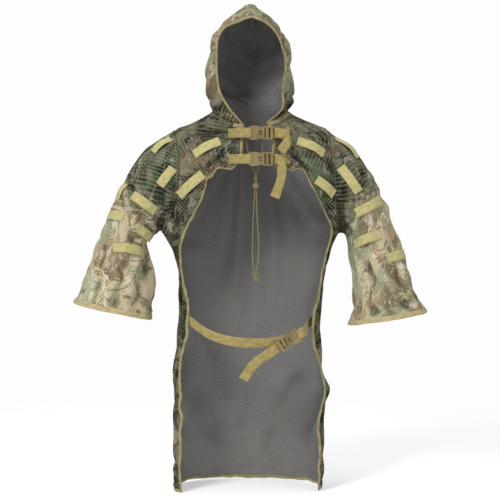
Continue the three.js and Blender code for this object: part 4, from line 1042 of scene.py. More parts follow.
def webbing(name, main, dark):
    """Woven nylon, UV in mm: run, across. Map E holds (distance to the nearer end, across)."""
    mat = Material(name)
    ramp, over = mat.ramp, mat.over
    run, across, _ = mat.xyz(mat.uv())
    weave = mat.mul(mat.sine(run, period=1.7), mat.sine(across, period=1.25))
    twill = mat.sine(mat.add(run, mat.absolute(across)), period=3.1)
    height = mat.add(mat.mul(weave, 0.5), mat.mul(twill, 0.4))
    cloudy = mat.noise(mat.uv(), scale=(0.06, 0.16, 1), detail=4.0, rough=0.6)
    colour = mat.mix(ramp(cloudy, low=0.30, high=0.72), dark, main)
    # painted shade in the weave: its low points darker, its crests a little lighter
    weave_shade = mat.mul(ramp(height, low=-0.6, high=0.6), 0.25)
    colour = mat.mix(weave_shade, mat.mix(0.30, colour, dark), colour)
    colour = over(colour, ramp(height, low=-0.2, high=-0.8), dark, amount=0.5)
    # rows of tacking stitches near each end
    end, end_across, _ = mat.xyz(mat.uv("E"))
    rows = ramp(mat.gap(mat.math("MODULO", end, 3.4), 1.7), low=0.55, high=0.25)
    dash = ramp(mat.sine(end_across, period=2.6), low=-0.2, high=0.3)
    tack = mat.mul(mat.mul(rows, ramp(end, low=9.5, high=9.0)), dash)
    colour = over(colour, tack, dark, amount=0.75)
    colour = over(colour, ramp(end, low=1.6, high=0.2), dark, amount=0.45)
    selvedge = ramp(mat.absolute(across), low=11.2, high=12.4)
    colour = over(colour, selvedge, dark, amount=0.35)
    return mat.finish(colour, rough=0.72, spec=0.3, sheen=0.1,
                      normal=mat.bump(height, strength=0.35, distance=0.0006))


def tape_material(name, main, dark):
    """Ribbed binding tape with a row of stitches either side of its fold."""
    mat = Material(name)
    ramp = mat.ramp
    run, across, _ = mat.xyz(mat.uv())
    rib = mat.sine(run, period=1.4)
    cloudy = mat.noise(mat.uv(), scale=(0.05, 0.2, 1), detail=4.0, rough=0.65)
    colour = mat.mix(ramp(cloudy, low=0.30, high=0.70), dark, main)
    # painted highlight on the crests of the ribs
    colour = mat.over(colour, ramp(rib, low=-0.2, high=0.9),
                      mat.mix(0.4, main, srgb(232, 222, 186)), amount=0.22)
    stitch = ramp(mat.gap(mat.absolute(across), 6.2), low=0.9, high=0.35)
    dash = ramp(mat.sine(run, period=3.6), low=-0.3, high=0.3)
    colour = mat.over(colour, mat.mul(stitch, dash), dark, amount=0.6)
    height = mat.sub(mat.mul(rib, 0.4), mat.mul(stitch, 0.8))
    return mat.finish(colour, rough=0.78, spec=0.25, sheen=0.1,
                      normal=mat.bump(height, strength=0.4, distance=0.0007))


def plastic(name, dark, pale):
    """Moulded plastic with worn edges and painted shade in its concave corners."""
    mat = Material(name)
    place = mat.object_place()
    fine = mat.noise(place, scale=(900, 900, 900), rough=0.6)
    flow = mat.noise(place, scale=(55, 55, 20), detail=4.0, rough=0.6, distort=0.6)
    colour = mat.mix(mat.ramp(flow, low=0.3, high=0.72), dark, pale)
    edge = mat.node("NewGeometry").outputs["Pointiness"]
    colour = mat.over(colour, mat.ramp(edge, low=0.50, high=0.58), srgb(176, 162, 118),
                      amount=0.5)
    # painted shade: concave corners darkened
    colour = mat.over(colour, mat.ramp(edge, low=0.50, high=0.42), srgb(70, 58, 34), amount=0.5)
    return mat.finish(colour, rough=mat.add(0.38, mat.mul(flow, 0.2)), spec=0.45,
                      normal=mat.bump(fine, strength=0.25, distance=0.0003))


def cord_braid():
    """Braid of two crossing spirals, UV: run in mm, angle round."""
    mat = Material("cord_braid")
    run, angle, _ = mat.xyz(mat.uv())
    spirals = [mat.math("SINE", mat.math(sign, mat.mul(run, 2 * math.pi / 3.4),
                                         mat.mul(angle, 2.0))) for sign in ("ADD", "SUBTRACT")]
    height = mat.math("MAXIMUM", *spirals)
    cloudy = mat.noise(mat.uv(), scale=(0.12, 0.5, 1), detail=3.0, rough=0.6)
    # painted light and shade: crests of the braid lighter, its grooves darker
    colour = mat.mix(mat.ramp(height, low=-0.2, high=0.9), srgb(98, 88, 48),
                     srgb(168, 156, 100))
    colour = mat.over(colour, mat.ramp(cloudy, low=0.3, high=0.7), srgb(120, 112, 64),
                      amount=0.35)
    return mat.finish(colour, rough=0.8, spec=0.25,
                      normal=mat.bump(height, strength=0.5, distance=0.0006))


def spring_steel():
    mat = Material("spring_steel")
    grain = mat.noise(mat.object_place(), scale=(700, 700, 700), detail=3.0, rough=0.6)
    return mat.finish(mat.mix(grain, srgb(140, 140, 136), srgb(186, 186, 182)), rough=0.32,
                      spec=0.5, metal=1.0,
                      normal=mat.bump(grain, strength=0.2, distance=0.0002))


CAMO_BODY = camo("camo_mesh_body", light=False)
CAMO_SLEEVE = camo("camo_mesh_sleeve", light=True)
INNER = inner_cloth("mesh_inner_face", facing=False)
HOOD_INNER = inner_cloth("hood_inner_face", facing=True)
LOOP = webbing("khaki_webbing", main=srgb(206, 197, 138), dark=srgb(170, 160, 104))
STRAP = webbing("strap_webbing", main=srgb(182, 164, 102), dark=srgb(138, 122, 70))
TAPE = tape_material("khaki_tape", main=srgb(166, 152, 104), dark=srgb(112, 100, 62))
CUFF = tape_material("khaki_tape_cuff", main=srgb(196, 180, 134), dark=srgb(152, 138, 92))
PLASTIC = plastic("buckle_plastic", dark=srgb(112, 97, 58), pale=srgb(138, 121, 80))
CORD = cord_braid()
STEEL = spring_steel()
LOCK = plastic("lock_plastic", dark=srgb(66, 60, 40), pale=srgb(90, 82, 54))


# ---------------------------------------------------------------- mesh makers
def place(points):
    """Design mm to scene metres."""
    return (np.asarray(points, float) + OFFSET) / 1000


def scene_point(*point):
    return tuple(float(c) for c in place(point))


def build(name, points, polys, uv_maps, materials, face_slots=None, attributes=None):
    mesh = bpy.data.meshes.new(name)
    mesh.from_pydata([tuple(map(float, point)) for point in place(points)], [],
                     [tuple(int(k) for k in poly) for poly in polys])
    mesh.polygons.foreach_set("use_smooth", [True] * len(mesh.polygons))
    for material in materials:
        mesh.materials.append(material)
    if face_slots is not None:
        mesh.polygons.foreach_set("material_index", np.asarray(face_slots, np.int32))
    for key, values in uv_maps.items():
        mesh.uv_layers.new(name=key).data.foreach_set("uv", np.asarray(values, float).ravel())
    for key, values in (attributes or {}).items():
        kind, field = ("FLOAT_VECTOR", "vector") if values.ndim > 1 else ("FLOAT", "value")
        mesh.attributes.new(key, kind, "POINT").data.foreach_set(field, values.ravel())
    mesh.update()
    obj = bpy.data.objects.new(name, mesh)
    bpy.context.scene.collection.objects.link(obj)
    return obj


def crisp(obj, angle, recalc=False):
    """Folds of more than this angle keep a hard edge in the shading."""
    mesh = bmesh.new()
    mesh.from_mesh(obj.data)
    if recalc:
        bmesh.ops.recalc_face_normals(mesh, faces=mesh.faces)
    for edge in mesh.edges:
        if len(edge.link_faces) == 2 and edge.calc_face_angle(0.0) > angle:
            edge.smooth = False
    mesh.to_mesh(obj.data)
    mesh.free()


def sheet(name):
    """A panel as a closed sheet: printed outer face, plain inner face, rim between."""
    part = panels[name]
    ids, uv_grid = part["ids"], part["uv"]
    rows, cols = ids.shape
    used, local = np.unique(ids, return_inverse=True)
    local = local.reshape(rows, cols)
    count = len(used)
    polys, uv, slots, outline = [], [], [], {}
    for i, j in itertools.product(range(rows - 1), range(cols - 1)):
        quad = [(i, j), (i + 1, j), (i + 1, j + 1), (i, j + 1)]
        if part["flip"]:
            quad = quad[::-1]
        corners = {}
        for cell in quad:
            corners.setdefault(local[cell], uv_grid[cell])
        if len(corners) < 3:
            continue
        verts, coords = list(corners), list(corners.values())
        polys += [verts, [v + count for v in verts[::-1]]]
        uv += coords + coords[::-1]
        slots += [0, 1]
        for k, vert in enumerate(verts):
            after = (k + 1) % len(verts)
            outline[vert, verts[after]] = coords[k], coords[after]
    for (a, b), (uv_a, uv_b) in outline.items():
        if (b, a) not in outline:
            polys.append([b, a, a + count, b + count])
            uv += [uv_b, uv_a, uv_a, uv_b]
            slots.append(0)
    materials = (CAMO_SLEEVE if part["kind"] == "sleeve" else CAMO_BODY,
                 HOOD_INNER if part["kind"] == "hood" else INNER)
    outer = OUTER[used]
    # the fold value stored here paints shade into folds and a highlight on ridges; the inner face
    # takes it negated
    obj = build("cloth_" + name, np.concatenate([outer, outer - NORMALS[used] * CLOTH]), polys,
                {"UVMap": uv}, materials, slots,
                {"rest": np.concatenate([REST[used]] * 2) / 1000,
                 "seam": np.concatenate([seam_near[used]] * 2),
                 "fold_shade": np.concatenate([valley[used], -valley[used]])})
    crisp(obj, 0.9)
    return obj


def zone_from(ids, direction, length):
    """Bending zone that starts just past the points along a direction."""
    direction = unit(np.array(direction))
    start = direction * ((place(OUTER[ids]) @ direction).max() + 0.001)
    return tuple(map(float, start)), tuple(map(float, start + direction * length))


# bending zones in metres: (start, end)
BLENDS = {
    "hood": zone_from(SEAM_IDS["neck"], [0, -0.316, 0.949], 0.085),
    "sleeve_left": zone_from(ids_of("sleeve_left")[0], [1.0, 0, -0.1], 0.032),
    "sleeve_right": zone_from(ids_of("sleeve_right")[0], [-1.0, 0, -0.1], 0.032),
    "tail": ((0.0, 0.0, float((LEVELS[TAIL_LEVEL, 7] + OFFSET[2]) / 1000 - 0.002)),
             (0.0, 0.0, 0.235))}


def attach(obj, body, slot, *nodes):
    """Parents a piece to its body's empty, or only bakes its transform when its body has a bending
    zone, and hides the solids it stands for. The argument slot is not used.
    """
    if body in BLENDS:
        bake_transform(obj)
    else:
        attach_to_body(obj, body)
    if nodes:
        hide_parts(*nodes)
    return obj


for name, part in panels.items():
    body = {"tail_panel": "tail", "hood_panel_left": "hood", "hood_panel_right": "hood",
            "sleeve_left": "sleeve_left", "sleeve_right": "sleeve_right"}.get(name, "garment")
    attach(sheet(name), body,
           "camo_mesh_sleeve" if part["kind"] == "sleeve" else "camo_mesh_body", name)


def tube(name, sections, run, across, closed, material):
    """Skin over sections (m, n, 3); UV is (run, across), map E (distance to an end, across)."""
    count, sides = sections.shape[:2]
    polys, uv, ends = [], [], []
    total = run[-1]
    for i in range(count if closed else count - 1):
        j = (i + 1) % count
        run0 = run[i]
        run1 = run[j] if j else total + np.linalg.norm(sections[0, 0] - sections[-1, 0])
        end0, end1 = min(run0, total - run0), min(run1, total - run1)
        for k in range(sides):
            after = (k + 1) % sides
            polys.append([i * sides + k, i * sides + after, j * sides + after, j * sides + k])
            here, there = across[k], across[after]
            uv += [(run0, here), (run0, there), (run1, there), (run1, here)]
            ends += [(end0, here), (end0, there), (end1, there), (end1, here)]
    if not closed:
        cap = list(range(sides))
        for row, order in ((0, cap[::-1]), (count - 1, cap)):
            polys.append([row * sides + k for k in order])
            uv += [(run[row], across[k]) for k in order]
            ends += [(0, across[k]) for k in order]
    obj = build(name, sections.reshape(-1, 3), polys, {"UVMap": uv, "E": ends}, (material,))
    crisp(obj, 1.1, recalc=True)
    return obj


# ---------------------------------------------------------------- bindings
BIND_T = 0.9        # tape thickness
BIND_GAP = 0.35     # between tape and cloth


def lap(lines, values, distance):
    """Values at a distance in from the first point of each line."""
    return np.array([[np.interp(distance, run, value[:, k]) for k in range(3)]
                     for run, value in zip(arc_length(lines, 1), values)])


def binding(name, ids, width, closed, material):
    """Folded tape round a cloth edge. ids: rows of cloth points, each running in from the edge."""
    lines, line_normals = OUTER[ids], NORMALS[ids]
    rows = [(lap(lines, lines, inset), unit(lap(lines, line_normals, inset)))
            for inset in (0.0, width * 0.35, width * 0.7, width)]
    edge, edge_n = rows[0]
    inmost, inmost_n = rows[3]
    inward = unit(rows[1][0] - edge)
    run = arc_length(edge)
    puff = (0.25 + 0.5 * (noise(vec(run / 17, 0, len(name)), 81) * 0.5 + 0.5))[:, None]
    over = BIND_GAP + BIND_T
    nose = edge - inward * (BIND_T + 0.9)
    under = CLOTH + BIND_GAP * 0.2
    section = [inmost + inmost_n * over]
    section += [point + normal * (over + puff) for point, normal in (rows[2], rows[1])]
    section += [edge + edge_n * over - inward * 0.2,
                nose + edge_n * (-CLOTH / 2 + 0.9),
                nose + edge_n * (-CLOTH / 2 - 0.9),
                edge - edge_n * (CLOTH + over) - inward * 0.2]
    section += [point - normal * (CLOTH + over) for point, normal in rows[1:]]
    section += [inmost - inmost_n * under, edge - edge_n * under,
                edge + edge_n * BIND_GAP * 0.2, inmost + inmost_n * BIND_GAP * 0.2]
    across = np.array([width, width * 0.7, width * 0.35, 0, -1, -1, 0, -width * 0.35,
                       -width * 0.7, -width, -width, 0, 0, width])
    return tube(name, np.stack(section, 1), run, across, closed, material)


for tag in SIDES.values():
    attach(binding("binding_front_" + tag, ids_of("front_panel_" + tag)[:, :12], 6.5, False, TAPE),
           "garment", "khaki_tape", "front_edge_binding_" + tag)
    ids = ids_of("sleeve_" + tag)[::-1, :-1].T[:, :10]
    attach(binding("binding_cuff_" + tag, ids, 11.5, True, CUFF), "sleeve_" + tag, "khaki_tape",
           "cuff_binding_" + tag)
ids = np.concatenate([ids_of("hood_panel_right")[::-1][:-1, :10],
                      ids_of("hood_panel_left")[1:, :10]])
attach(binding("hood_channel", ids, 5.0, False, TAPE), "hood", "khaki_tape", "hood_face_channel")
tail = ids_of("tail_panel")
inset = np.arange(12)
ids = np.concatenate([
    tail[:-4, :12], [tail[-1 - inset, inset]], tail[::-1, 4:-4].T[:, :12],
    [tail[-1 - inset, -1 - inset]], tail[:-4, ::-1][:, :12][::-1]])
attach(binding("binding_tail", ids, 6.5, False, TAPE), "tail", "khaki_tape", "tail_binding")


# ---------------------------------------------------------------- straps
def band(name, centres, across, face, material, width=WEB, thick=WEB_T):
    """Webbing from its centres, its width directions and its face directions."""
    face = unit(face)
    half, rise = width / 2, thick / 2
    profile = [(half - 0.5, rise), (half * 0.5, rise * 1.05), (0, rise * 1.05),
               (-half * 0.5, rise * 1.05), (-half + 0.5, rise), (-half, 0),
               (-half + 0.5, -rise), (-half * 0.5, -rise), (0, -rise), (half * 0.5, -rise),
               (half - 0.5, -rise), (half, 0)]
    sections = np.stack([centres + across * x + face * z for x, z in profile], 1)
    return tube(name, sections, arc_length(centres), np.array([x for x, _ in profile]), False,
                material)


def cloth_height(point, across, normal, reach=60):
    """Highest cloth along normal under a webbing's width, or None."""
    found = []
    for share in (-0.5, -0.25, 0, 0.25, 0.5):
        base = point + across * share * WEB
        hit = DRAPED_TREE.ray_cast(Vector(base + normal * reach), Vector(-normal), reach * 2)[0]
        if hit is not None:
            height = float((np.array(hit) - base) @ normal)
            if abs(height) < 40:
                found.append(height)
    return max(found, default=None)


def bridge(run, heights):
    """Upper convex hull: taut webbing bridges hollows of the cloth."""
    top = []
    for i in range(len(run)):
        while len(top) >= 2:
            a, b = top[-2:]
            if ((heights[b] - heights[a]) * (run[i] - run[a])
                    > (heights[i] - heights[a]) * (run[b] - run[a])):
                break
            top.pop()
        top.append(i)
    return np.interp(run, run[top], heights[top])


def loop_strap(name, start, end, rise):
    """A webbing loop sewn down at both ends and standing free between them."""
    (first, first_n), (last, last_n) = carry(start), carry(end)
    line = unit(last - first)
    total = float(np.linalg.norm(last - first))
    normal = unit(first_n + last_n + carry((np.asarray(start) + end) / 2)[1])
    normal = unit(normal - line * (normal @ line))
    across = np.cross(normal, line)
    run = np.linspace(0, total, max(12, int(total / 3)))
    heights = []
    for distance in run:
        height = cloth_height(first + line * distance, across, normal)
        if height is None:
            height = heights[-1] if heights else 0.0
        heights.append(height)
    free = np.clip((run / total - 0.14) / 0.72, 0, 1)
    lift = bridge(run, np.array(heights)) + 1.2 + np.sin(free * math.pi) ** 0.7 * rise
    centres = first + run[:, None] * line + lift[:, None] * normal
    tangent = unit(np.gradient(centres, axis=0))
    face = unit(normal - tangent * (tangent @ normal)[:, None])
    return band(name, centres, np.repeat(across[None], len(run), 0), face, LOOP)


for name, start, end, rise in LOOPS:
    body = "garment" if name.startswith("chest") else "sleeve_" + SIDES[side_of(name)]
    attach(loop_strap("loop_" + name, start, end, rise), body, "khaki_webbing",
           "foliage_loop_" + name)


def row_strap(name, points, sewn):
    """Webbing across the cloth, sewn down at some points and bulging into loops between."""
    carried = [carry(point) for point in points]
    steps = 8
    at = np.linspace(0, len(points) - 1, (len(points) - 1) * steps + 1)
    centres = dense([point for point, _ in carried], steps)
    face = unit(dense([unit(normal * [1, 1, 0.0]) for _, normal in carried], steps))
    across = np.repeat(UP[None], len(centres), 0)
    heights = [cloth_height(centre, UP, normal) for centre, normal in zip(centres, face)]
    heights = np.array([0.0 if height is None else height for height in heights])
    average = np.convolve(np.pad(heights, 3, "edge"), np.ones(7) / 7, "valid")
    heights = np.maximum(heights, average)
    bulge = np.zeros(len(centres))
    for a, b in zip(sewn[:-1], sewn[1:]):
        if b - a > 1:
            t = (at - a) / (b - a)
            arch = np.sin(np.clip(t, 0, 1) * math.pi) ** 0.8
            bulge += np.where((t >= 0) & (t <= 1), arch, 0) * 4.5
    return band(name, centres + face * (heights + 1.3 + bulge)[:, None], across, face, LOOP)


# number, torso level, angle behind the side where it starts
for number, level, angle in ((1, 3.75, 40), (2, 6.6, 20), (3, 8.6, 20)):
    right, left = [[torso(-angle + (-90 + angle) * j / 6, level, side) for j in range(6)]
                   for side in SIDES]
    points = right + [torso(-90, level, 1)] + left[::-1]
    attach(row_strap("back_row_%d" % number, points, [0, 1, 4, 5, 7, 8, 11, 12]), "garment",
           "khaki_webbing", "back_loop_row_%d" % number)


def hood_point(side, column):
    return spline(np.stack(hood_rows(side, 8 * column / 7)), 4.0)


columns = (4.5, 4.8, 5.2, 5.7, 6.3)
points = ([hood_point(-1, column) for column in columns] + [hood_point(1, 7)]
          + [hood_point(1, column) for column in columns[::-1]])
attach(row_strap("hood_row", points, [0, 1, 4, 6, 9, 10]), "hood", "khaki_webbing",
       "hood_loop_row")


def neck_tape(name, side, start, end):
    """Tape lying on the cloth just below the neck seam, between two torso angles."""
    centres, face = map(np.array, zip(*[carry(torso(angle, 0.24, side))
                                        for angle in np.linspace(start, end, 26)]))
    across = unit(np.cross(face, unit(np.gradient(centres, axis=0))))
    obj = band(name, centres + face * 1.9, across, face, TAPE, width=12.0, thick=1.2)
    attach(obj, "garment", "khaki_tape")


neck_tape("neck_tape_left", 1, NECK_ANGLE[1] - 1.5, 2)
neck_tape("neck_tape_right", -1, NECK_ANGLE[-1] - 1.5, NECK_ANGLE[-1] - 15)


def strap_path(name, node, points, across, steps=6, sway=0.0):
    """Free webbing along points, with one width direction or one for each point."""
    centres = dense(points, steps)
    across = dense(np.broadcast_to(across, (len(points), 3)), steps)
    face = unit(np.cross(unit(np.gradient(centres, axis=0)), across))
    if sway:
        centres = centres + face * (sway * noise(vec(arc_length(centres) / 30), 91))[:, None]
    attach(band(name, centres, unit(across), face, STRAP), "garment", "strap_webbing", node)


def cloth_y(x, z):
    """Foremost cloth under a level webbing at (x, z)."""
    hits = [DRAPED_TREE.ray_cast(Vector((x, -400, z + dz)), Vector((0, 1, 0)), 420)[0]
            for dz in (-12.5, -6, 0, 6, 12.5)]
    return min((hit.y for hit in hits if hit is not None), default=-95.0)


def chest_webs(tag, buckle, right_end, left_end, rise):
    """The webbing either side of a chest buckle, from its sewn ends."""
    mid, y, z = buckle

    def above(x, lift):
        return x, cloth_y(x, z) - lift
    right = [above(right_end, rise), above(right_end + 12, rise + 0.4),
             (-26, min(y - 5, cloth_y(-26, z) - rise - 2)), (-13, y - 5.2), (-6.2, y - LAYER),
             (mid - 12.0, y - LAYER + 0.4), (mid - 12.0, y + LAYER - 0.4),
             (mid - 20.5, y + LAYER)]
    left = [(60, max(y + 8.3, cloth_y(70, z) - 5)), (72, max(y + 8.3, cloth_y(74, z) - 4)),
            above(left_end - 14, rise + 0.3), above(left_end, rise)]
    for side, path in (("right", right), ("left", left)):
        strap_path("web_%s_%s" % (tag, side), "%s_web_%s" % (tag, side),
                   [(*point, z) for point in path], UP)


chest_webs("chest_upper", UPPER, -56, 101, 1.7)
chest_webs("chest_lower", LOWER, -54, 103, 1.9)


def beside(buckle, turn, x, y):
    """Point at (x, y) in a buckle's frame, turned in the XZ plane."""
    return np.array([buckle[0] + math.cos(turn) * x, buckle[1] + y, buckle[2] + math.sin(turn) * x])


def buckle_up(turn):
    return np.array([-math.sin(turn), 0, math.cos(turn)])


# webbing through a buckle's plug, in the buckle's frame (x, y)
LACED = [(24.2, 0.5), (24.4, 4.4), (27, LAYER - 0.5), (37, LAYER - 0.5), (45.5, 5.0), (52, -1.0)]


def strap_tail(tag, buckle, turn, hang, fold_at=None):
    """Strap end laced through a plug, then hanging: rows of x, y from the buckle's, z and
    width direction. At the point fold_at it is folded sharply."""
    points = np.array([beside(buckle, turn, *point) for point in LACED]
                      + [np.array([x, buckle[1] + y, z], float) for x, y, z, *_ in hang])
    across = np.array([buckle_up(turn)] * len(LACED) + [row[3:] for row in hang], float)
    cuts = [0] + ([fold_at] if fold_at else []) + [len(points) - 1]
    spans = [slice(a, b + 1) for a, b in zip(cuts[:-1], cuts[1:])]
    centres = np.concatenate([dense(points[span], 5) for span in spans])
    across = np.concatenate([dense(across[span], 5) for span in spans])
    fresh = np.linalg.norm(np.diff(centres, axis=0), axis=1) > 1e-6
    fresh = np.concatenate([[True], fresh])
    centres, across = centres[fresh], across[fresh]
    face = unit(np.cross(unit(np.gradient(centres, axis=0)), across))
    for i in range(1, len(face)):
        if face[i] @ face[i - 1] < 0:
            face[i] = -face[i]
    attach(band("tail_" + tag, centres, across, face, STRAP), "plug_" + tag.split("_")[-1],
           "strap_webbing", tag + "_strap_tail")


strap_tail("chest_upper", UPPER, 0, [
    (76, -7.5, 921, 0.03, 0, 1), (90, -8.5, 916, 0.15, 0, 1), (101, -9.5, 909, -0.26, 0, 1.0),
    (101.6, -11.5, 907, -0.26, 0, 1.0), (96, -14.5, 898, -0.62, 0, 0.78),
    (87, -16, 886, -0.72, 0.04, 0.70), (78, -16.5, 873, -0.75, 0.02, 0.66)], fold_at=8)
strap_tail("chest_lower", LOWER, 0, [
    (73, -6.6, 851, 0.2, 0, 1), (78, -8.5, 846, 0.6, -0.2, 0.8),
    (80.5, -9, 832, 0.93, -0.3, 0.25), (80, -8.5, 812, 0.9, -0.42, 0.05),
    (75, -7.5, 792, 0.92, -0.38, -0.1), (68, -6.5, 772, 0.95, -0.25, -0.24),
    (62, -6, 757, 0.92, -0.2, -0.42)])
WAIST_TURN = math.pi + TILT
strap_tail("waist", WAIST, WAIST_TURN, [
    (57, -6, 368, 0.5, 0, -0.86), (44, -7.5, 360, 0.5, 0.05, -0.86),
    (31, -8, 352, 0.5, 0.15, -0.85), (15, -8.6, 339, 0.62, 0.1, -0.78),
    (2, -8, 326, 0.7, 0.05, -0.7), (-9, -7.4, 309, 0.86, 0, -0.5),
    (-18, -7, 296, 0.88, 0, -0.46)])

strap_path("belt_long", "waist_strap_long", [
    (-178, 14, 457), (-175, -16, 454), (-163.5, -43, 448), (-150, -66, 438), (-120, -92, 417),
    (-88, -107, 402), (-52, -116, 393), (-10, -121, 388), (30, -122, 387.5), (62, -122, 390),
    (88, -122, 397), (100, -122, 401)], UP, steps=5, sway=0.8)
# the short belt turns from the buckle's tilt to upright
upright = [0, 0, 0, 0, 0.15, 0.4, 0.7, 0.9, 1, 1, 1]
path = [beside(WAIST, WAIST_TURN, x, y) for x, y in (
    (-20, LAYER), (-12.4, LAYER - 0.3), (-12.4, -LAYER + 0.3), (-19, -LAYER), (-29, -LAYER + 4))]
path += [(143, -108, 421), (146, -80, 427), (149, -58, 431), (155, -38, 436), (165, -20, 440),
         (174, -7, 443)]
strap_path("belt_short", "waist_strap_short", path,
           [-buckle_up(WAIST_TURN) * (1 - share) + UP * share for share in upright], steps=5)


# ---------------------------------------------------------------- cords
def cord(name, points, radius, steps=6, sides=10, flare=((0, 1), (1, 1)), material=CORD):
    """Round cord; flare is (shares of its length, factors on its radius)."""
    centres = dense(points, steps)
    tangent = unit(np.gradient(centres, axis=0))
    aside = np.array([0, 1.0, 0.05])
    aside = unit(aside - tangent * (tangent @ aside)[:, None])
    other = np.cross(tangent, aside)
    run = arc_length(centres)
    radii = radius * np.interp(np.linspace(0, 1, len(centres)), *flare)
    radii = radii * (1 + 0.05 * noise(vec(run / 4), 5))
    angles = np.arange(sides) * 2 * math.pi / sides
    ring = (np.cos(angles)[None, :, None] * aside[:, None]
            + np.sin(angles)[None, :, None] * other[:, None])
    sections = centres[:, None] + radii[:, None, None] * ring
    return tube(name, sections, run, angles, False, material)


def join(name, objs):
    bpy.context.view_layer.update()
    for obj in bpy.context.selected_objects:
        obj.select_set(False)
    for obj in objs:
        obj.select_set(True)
    bpy.context.view_layer.objects.active = objs[0]
    with bpy.context.temp_override(active_object=objs[0], selected_editable_objects=objs,
                                   selected_objects=objs):
        bpy.ops.object.join()
    objs[0].name = name
    return objs[0]


attach(cord("neck_cord", [
    (-11, -99.5, 939), (-9.5, -101, 905), (-4, -101.5, 871), (4, -100, 840),
    (11.0, CORD_Y, 823.5), (12.6, CORD_Y, 820.8), (MID_X, CORD_Y, 820.0), (16, CORD_Y, 820.8),
    (17.6, CORD_Y, 823.5), (25, -100, 840), (30.5, -101.5, 871), (32.5, -101, 905),
    (37, -99.5, 937)], 1.35), "garment", "cord", "drawcord_neck")

# hanging strands through the cord lock: (x, z)
STRANDS = {
    "s1": [(12.4, 816), (12.4, 790), (12.0, 772), (9.5, 730), (7.5, 690), (6.5, 650),
           (6.0, 610), (8.5, 580), (11.8, 566)],
    "s2": [(16.2, 816), (16.2, 790), (16.8, 772), (17.0, 740), (18.4, 700), (21.5, 660),
           (22.5, 630), (21.0, 600), (17.5, 578), (15.0, 566)]}
strands = [cord(name, [(x, CORD_Y, z) for x, z in path], 1.15) for name, path in STRANDS.items()]

turn = np.linspace(0, 2 * math.pi * 2.6, 46)
knot = [cord("knot", vec(12.8 + (4.6 + 1.1 * np.cos(turn * 0.7)) * np.cos(turn),
                         CORD_Y + 3.4 * np.sin(turn * 1.5),
                         562 + 3.8 * np.sin(turn) + 1.2 * np.cos(turn * 2.3)), 1.7, steps=2)]
# frayed ends below the knot: reach in x and z, bend in x
FRAYS = [(-7, -17, 2), (3, -15, -3), (13, -10, 2), (8, -19, 1), (-2, -21, 3), (16, -16, -2)]
FRAY_X, FRAY_Z = 12.4, 560
for i, (dx, dz, bend) in enumerate(FRAYS):
    path = [(FRAY_X + i * 0.4, CORD_Y, FRAY_Z),
            (FRAY_X + dx * 0.45 + bend, CORD_Y + (i % 3 - 1), FRAY_Z + dz * 0.5),
            (FRAY_X + dx, CORD_Y - (i % 2), FRAY_Z + dz)]
    knot.append(cord("f%d" % i, path, 0.75, sides=8, flare=([0, 0.7, 1], [1.2, 1, 1.5])))
attach(join("tassel_knot", knot), "cord", "cord", "drawcord_tassel")
tassel = attach(join("tassel", strands), "cord", "cord", "drawcord_tassel")
scene_point(MID_X, CORD_Y, 700)
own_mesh(tassel)

turn = np.linspace(0, 2 * math.pi * 2.4, 40)
coil = cord("lock_spring", vec(MID_X + 2.6 * np.cos(turn), CORD_Y + 3.95 + 3.5 * turn / turn[-1],
                               LOCK_Z + 2.6 * np.sin(turn)), 0.4, steps=2, sides=8,
            material=STEEL)
attach(coil, "lock", "spring_steel", "cord_lock_spring")
scene_point(MID_X, CORD_Y + 7.85, LOCK_Z)
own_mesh(coil)

# ---------------------------------------------------------------- moulded pieces
for name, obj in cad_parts.items():
    if "buckle" not in name and name not in ("cord_lock_body", "cord_lock_button"):
        continue
    material = LOCK if name == "cord_lock_body" else PLASTIC
    if not obj.data.materials:
        obj.data.materials.append(material)
    for slot in obj.material_slots:
        slot.link = "OBJECT"
        slot.material = material
    obj.modifiers.new("weld", "WELD").merge_threshold = 0.00002
    bevel = obj.modifiers.new("soft_edges", "BEVEL")
    bevel.width = 0.0008 if "buckle" in name else 0.0005
    bevel.segments = 3
    bevel.limit_method = "ANGLE"
    bevel.angle_limit = 32 * RAD
    bevel.harden_normals = False

# ---------------------------------------------------------------- stage and light
FLOOR_RADIUS, FLOOR_Z = 3.2, -0.0015            # metres
SPOKES, RINGS = 64, 14


def floor_paper():
    """White paper that fades to nothing outwards."""
    mat = Material("floor_paper")
    spot = mat.object_place()
    away = mat.node("VectorMath", {0: spot}, operation="LENGTH").outputs["Value"]
    grain = mat.noise(spot, scale=(3, 3, 3), detail=3.0)
    mat.finish(mat.mix(grain, srgb(244, 244, 244), srgb(248, 248, 248)), rough=0.95, spec=0.0)
    mat.set(mat.shader.inputs["Emission Color"], (1, 1, 1, 1))
    mat.set(mat.shader.inputs["Emission Strength"], 0.32)
    fade = mat.node("MixShader", {0: mat.ramp(away, low=0.55, high=2.6),
                                  1: mat.shader.outputs[0],
                                  2: mat.node("BsdfTransparent").outputs[0]})
    mat.set(mat.output.inputs[0], fade.outputs[0])
    return mat.data


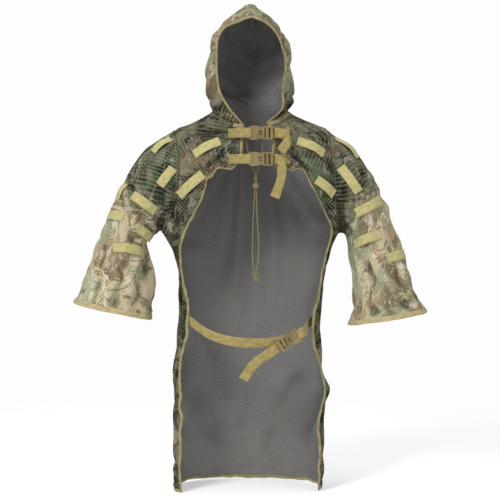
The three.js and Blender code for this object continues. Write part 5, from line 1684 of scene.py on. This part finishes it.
def stage_floor():
    points = [(0, 0, FLOOR_Z)]
    for ring in range(1, RINGS + 1):
        radius = FLOOR_RADIUS * ring / RINGS
        for k in range(SPOKES):
            angle = 2 * math.pi * k / SPOKES
            points.append((radius * math.cos(angle), radius * math.sin(angle), FLOOR_Z))
    polys = [(0, 1 + k, 1 + (k + 1) % SPOKES) for k in range(SPOKES)]
    for ring in range(RINGS - 1):
        for k in range(SPOKES):
            a, b = 1 + ring * SPOKES + k, 1 + ring * SPOKES + (k + 1) % SPOKES
            polys.append((a, a + SPOKES, b + SPOKES, b))
    mesh = bpy.data.meshes.new("floor")
    mesh.from_pydata(points, [], polys)
    obj = bpy.data.objects.new("floor", mesh)
    bpy.context.scene.collection.objects.link(obj)
    mesh.materials.append(floor_paper())


def lamp(name, loc, aim, size, power):
    """Square area light."""
    light = bpy.data.lights.new(name, "AREA")
    light.shape = "RECTANGLE"
    light.size = light.size_y = size
    light.energy = power
    obj = bpy.data.objects.new(name, light)
    obj.location = loc
    obj.rotation_euler = (Vector(aim) - Vector(loc)).to_track_quat("-Z", "Y").to_euler()
    bpy.context.scene.collection.objects.link(obj)


def studio_world():
    """Cool soft light, with near-white seen by the camera."""
    world = bpy.data.worlds.new("studio")
    bpy.context.scene.world = world
    world.use_nodes = True
    tree = world.node_tree
    tree.nodes.clear()
    output, light, seen, ray, mix = (tree.nodes.new("ShaderNode" + kind) for kind in (
        "OutputWorld", "Background", "Background", "LightPath", "MixShader"))
    for node, colour, strength in ((light, (0.86, 0.88, 0.92, 1), 0.48),
                                   (seen, (1, 1, 1, 1), 0.98)):
        node.inputs[0].default_value = colour
        node.inputs[1].default_value = strength
    tree.links.new(ray.outputs["Is Camera Ray"], mix.inputs[0])
    tree.links.new(light.outputs[0], mix.inputs[1])
    tree.links.new(seen.outputs[0], mix.inputs[2])
    tree.links.new(mix.outputs[0], output.inputs[0])


def add_camera():
    sensor, distance, view_width = 36, 3.5, 1.3     # mm, then metres
    camera = bpy.data.objects.new("camera", bpy.data.cameras.new("camera"))
    camera.data.lens = sensor * distance / view_width
    camera.data.sensor_width = sensor
    camera.location = (0.0005, -3.545, 0.6264)
    camera.rotation_euler = (math.pi / 2, 0, 0)
    bpy.context.scene.collection.objects.link(camera)
    bpy.context.scene.camera = camera


stage_floor()
lamp("key", loc=(-1.9, -2.9, 3.0), aim=(0, 0, 0.75), size=1.3, power=112)
lamp("fill", loc=(2.8, -2.6, 1.4), aim=(0, 0, 0.65), size=2.2, power=26)
lamp("top", loc=(0.2, 0.4, 3.6), aim=(0, 0, 0.6), size=2.4, power=34)
studio_world()
bpy.context.scene.view_settings.view_transform = "Standard"
add_camera()
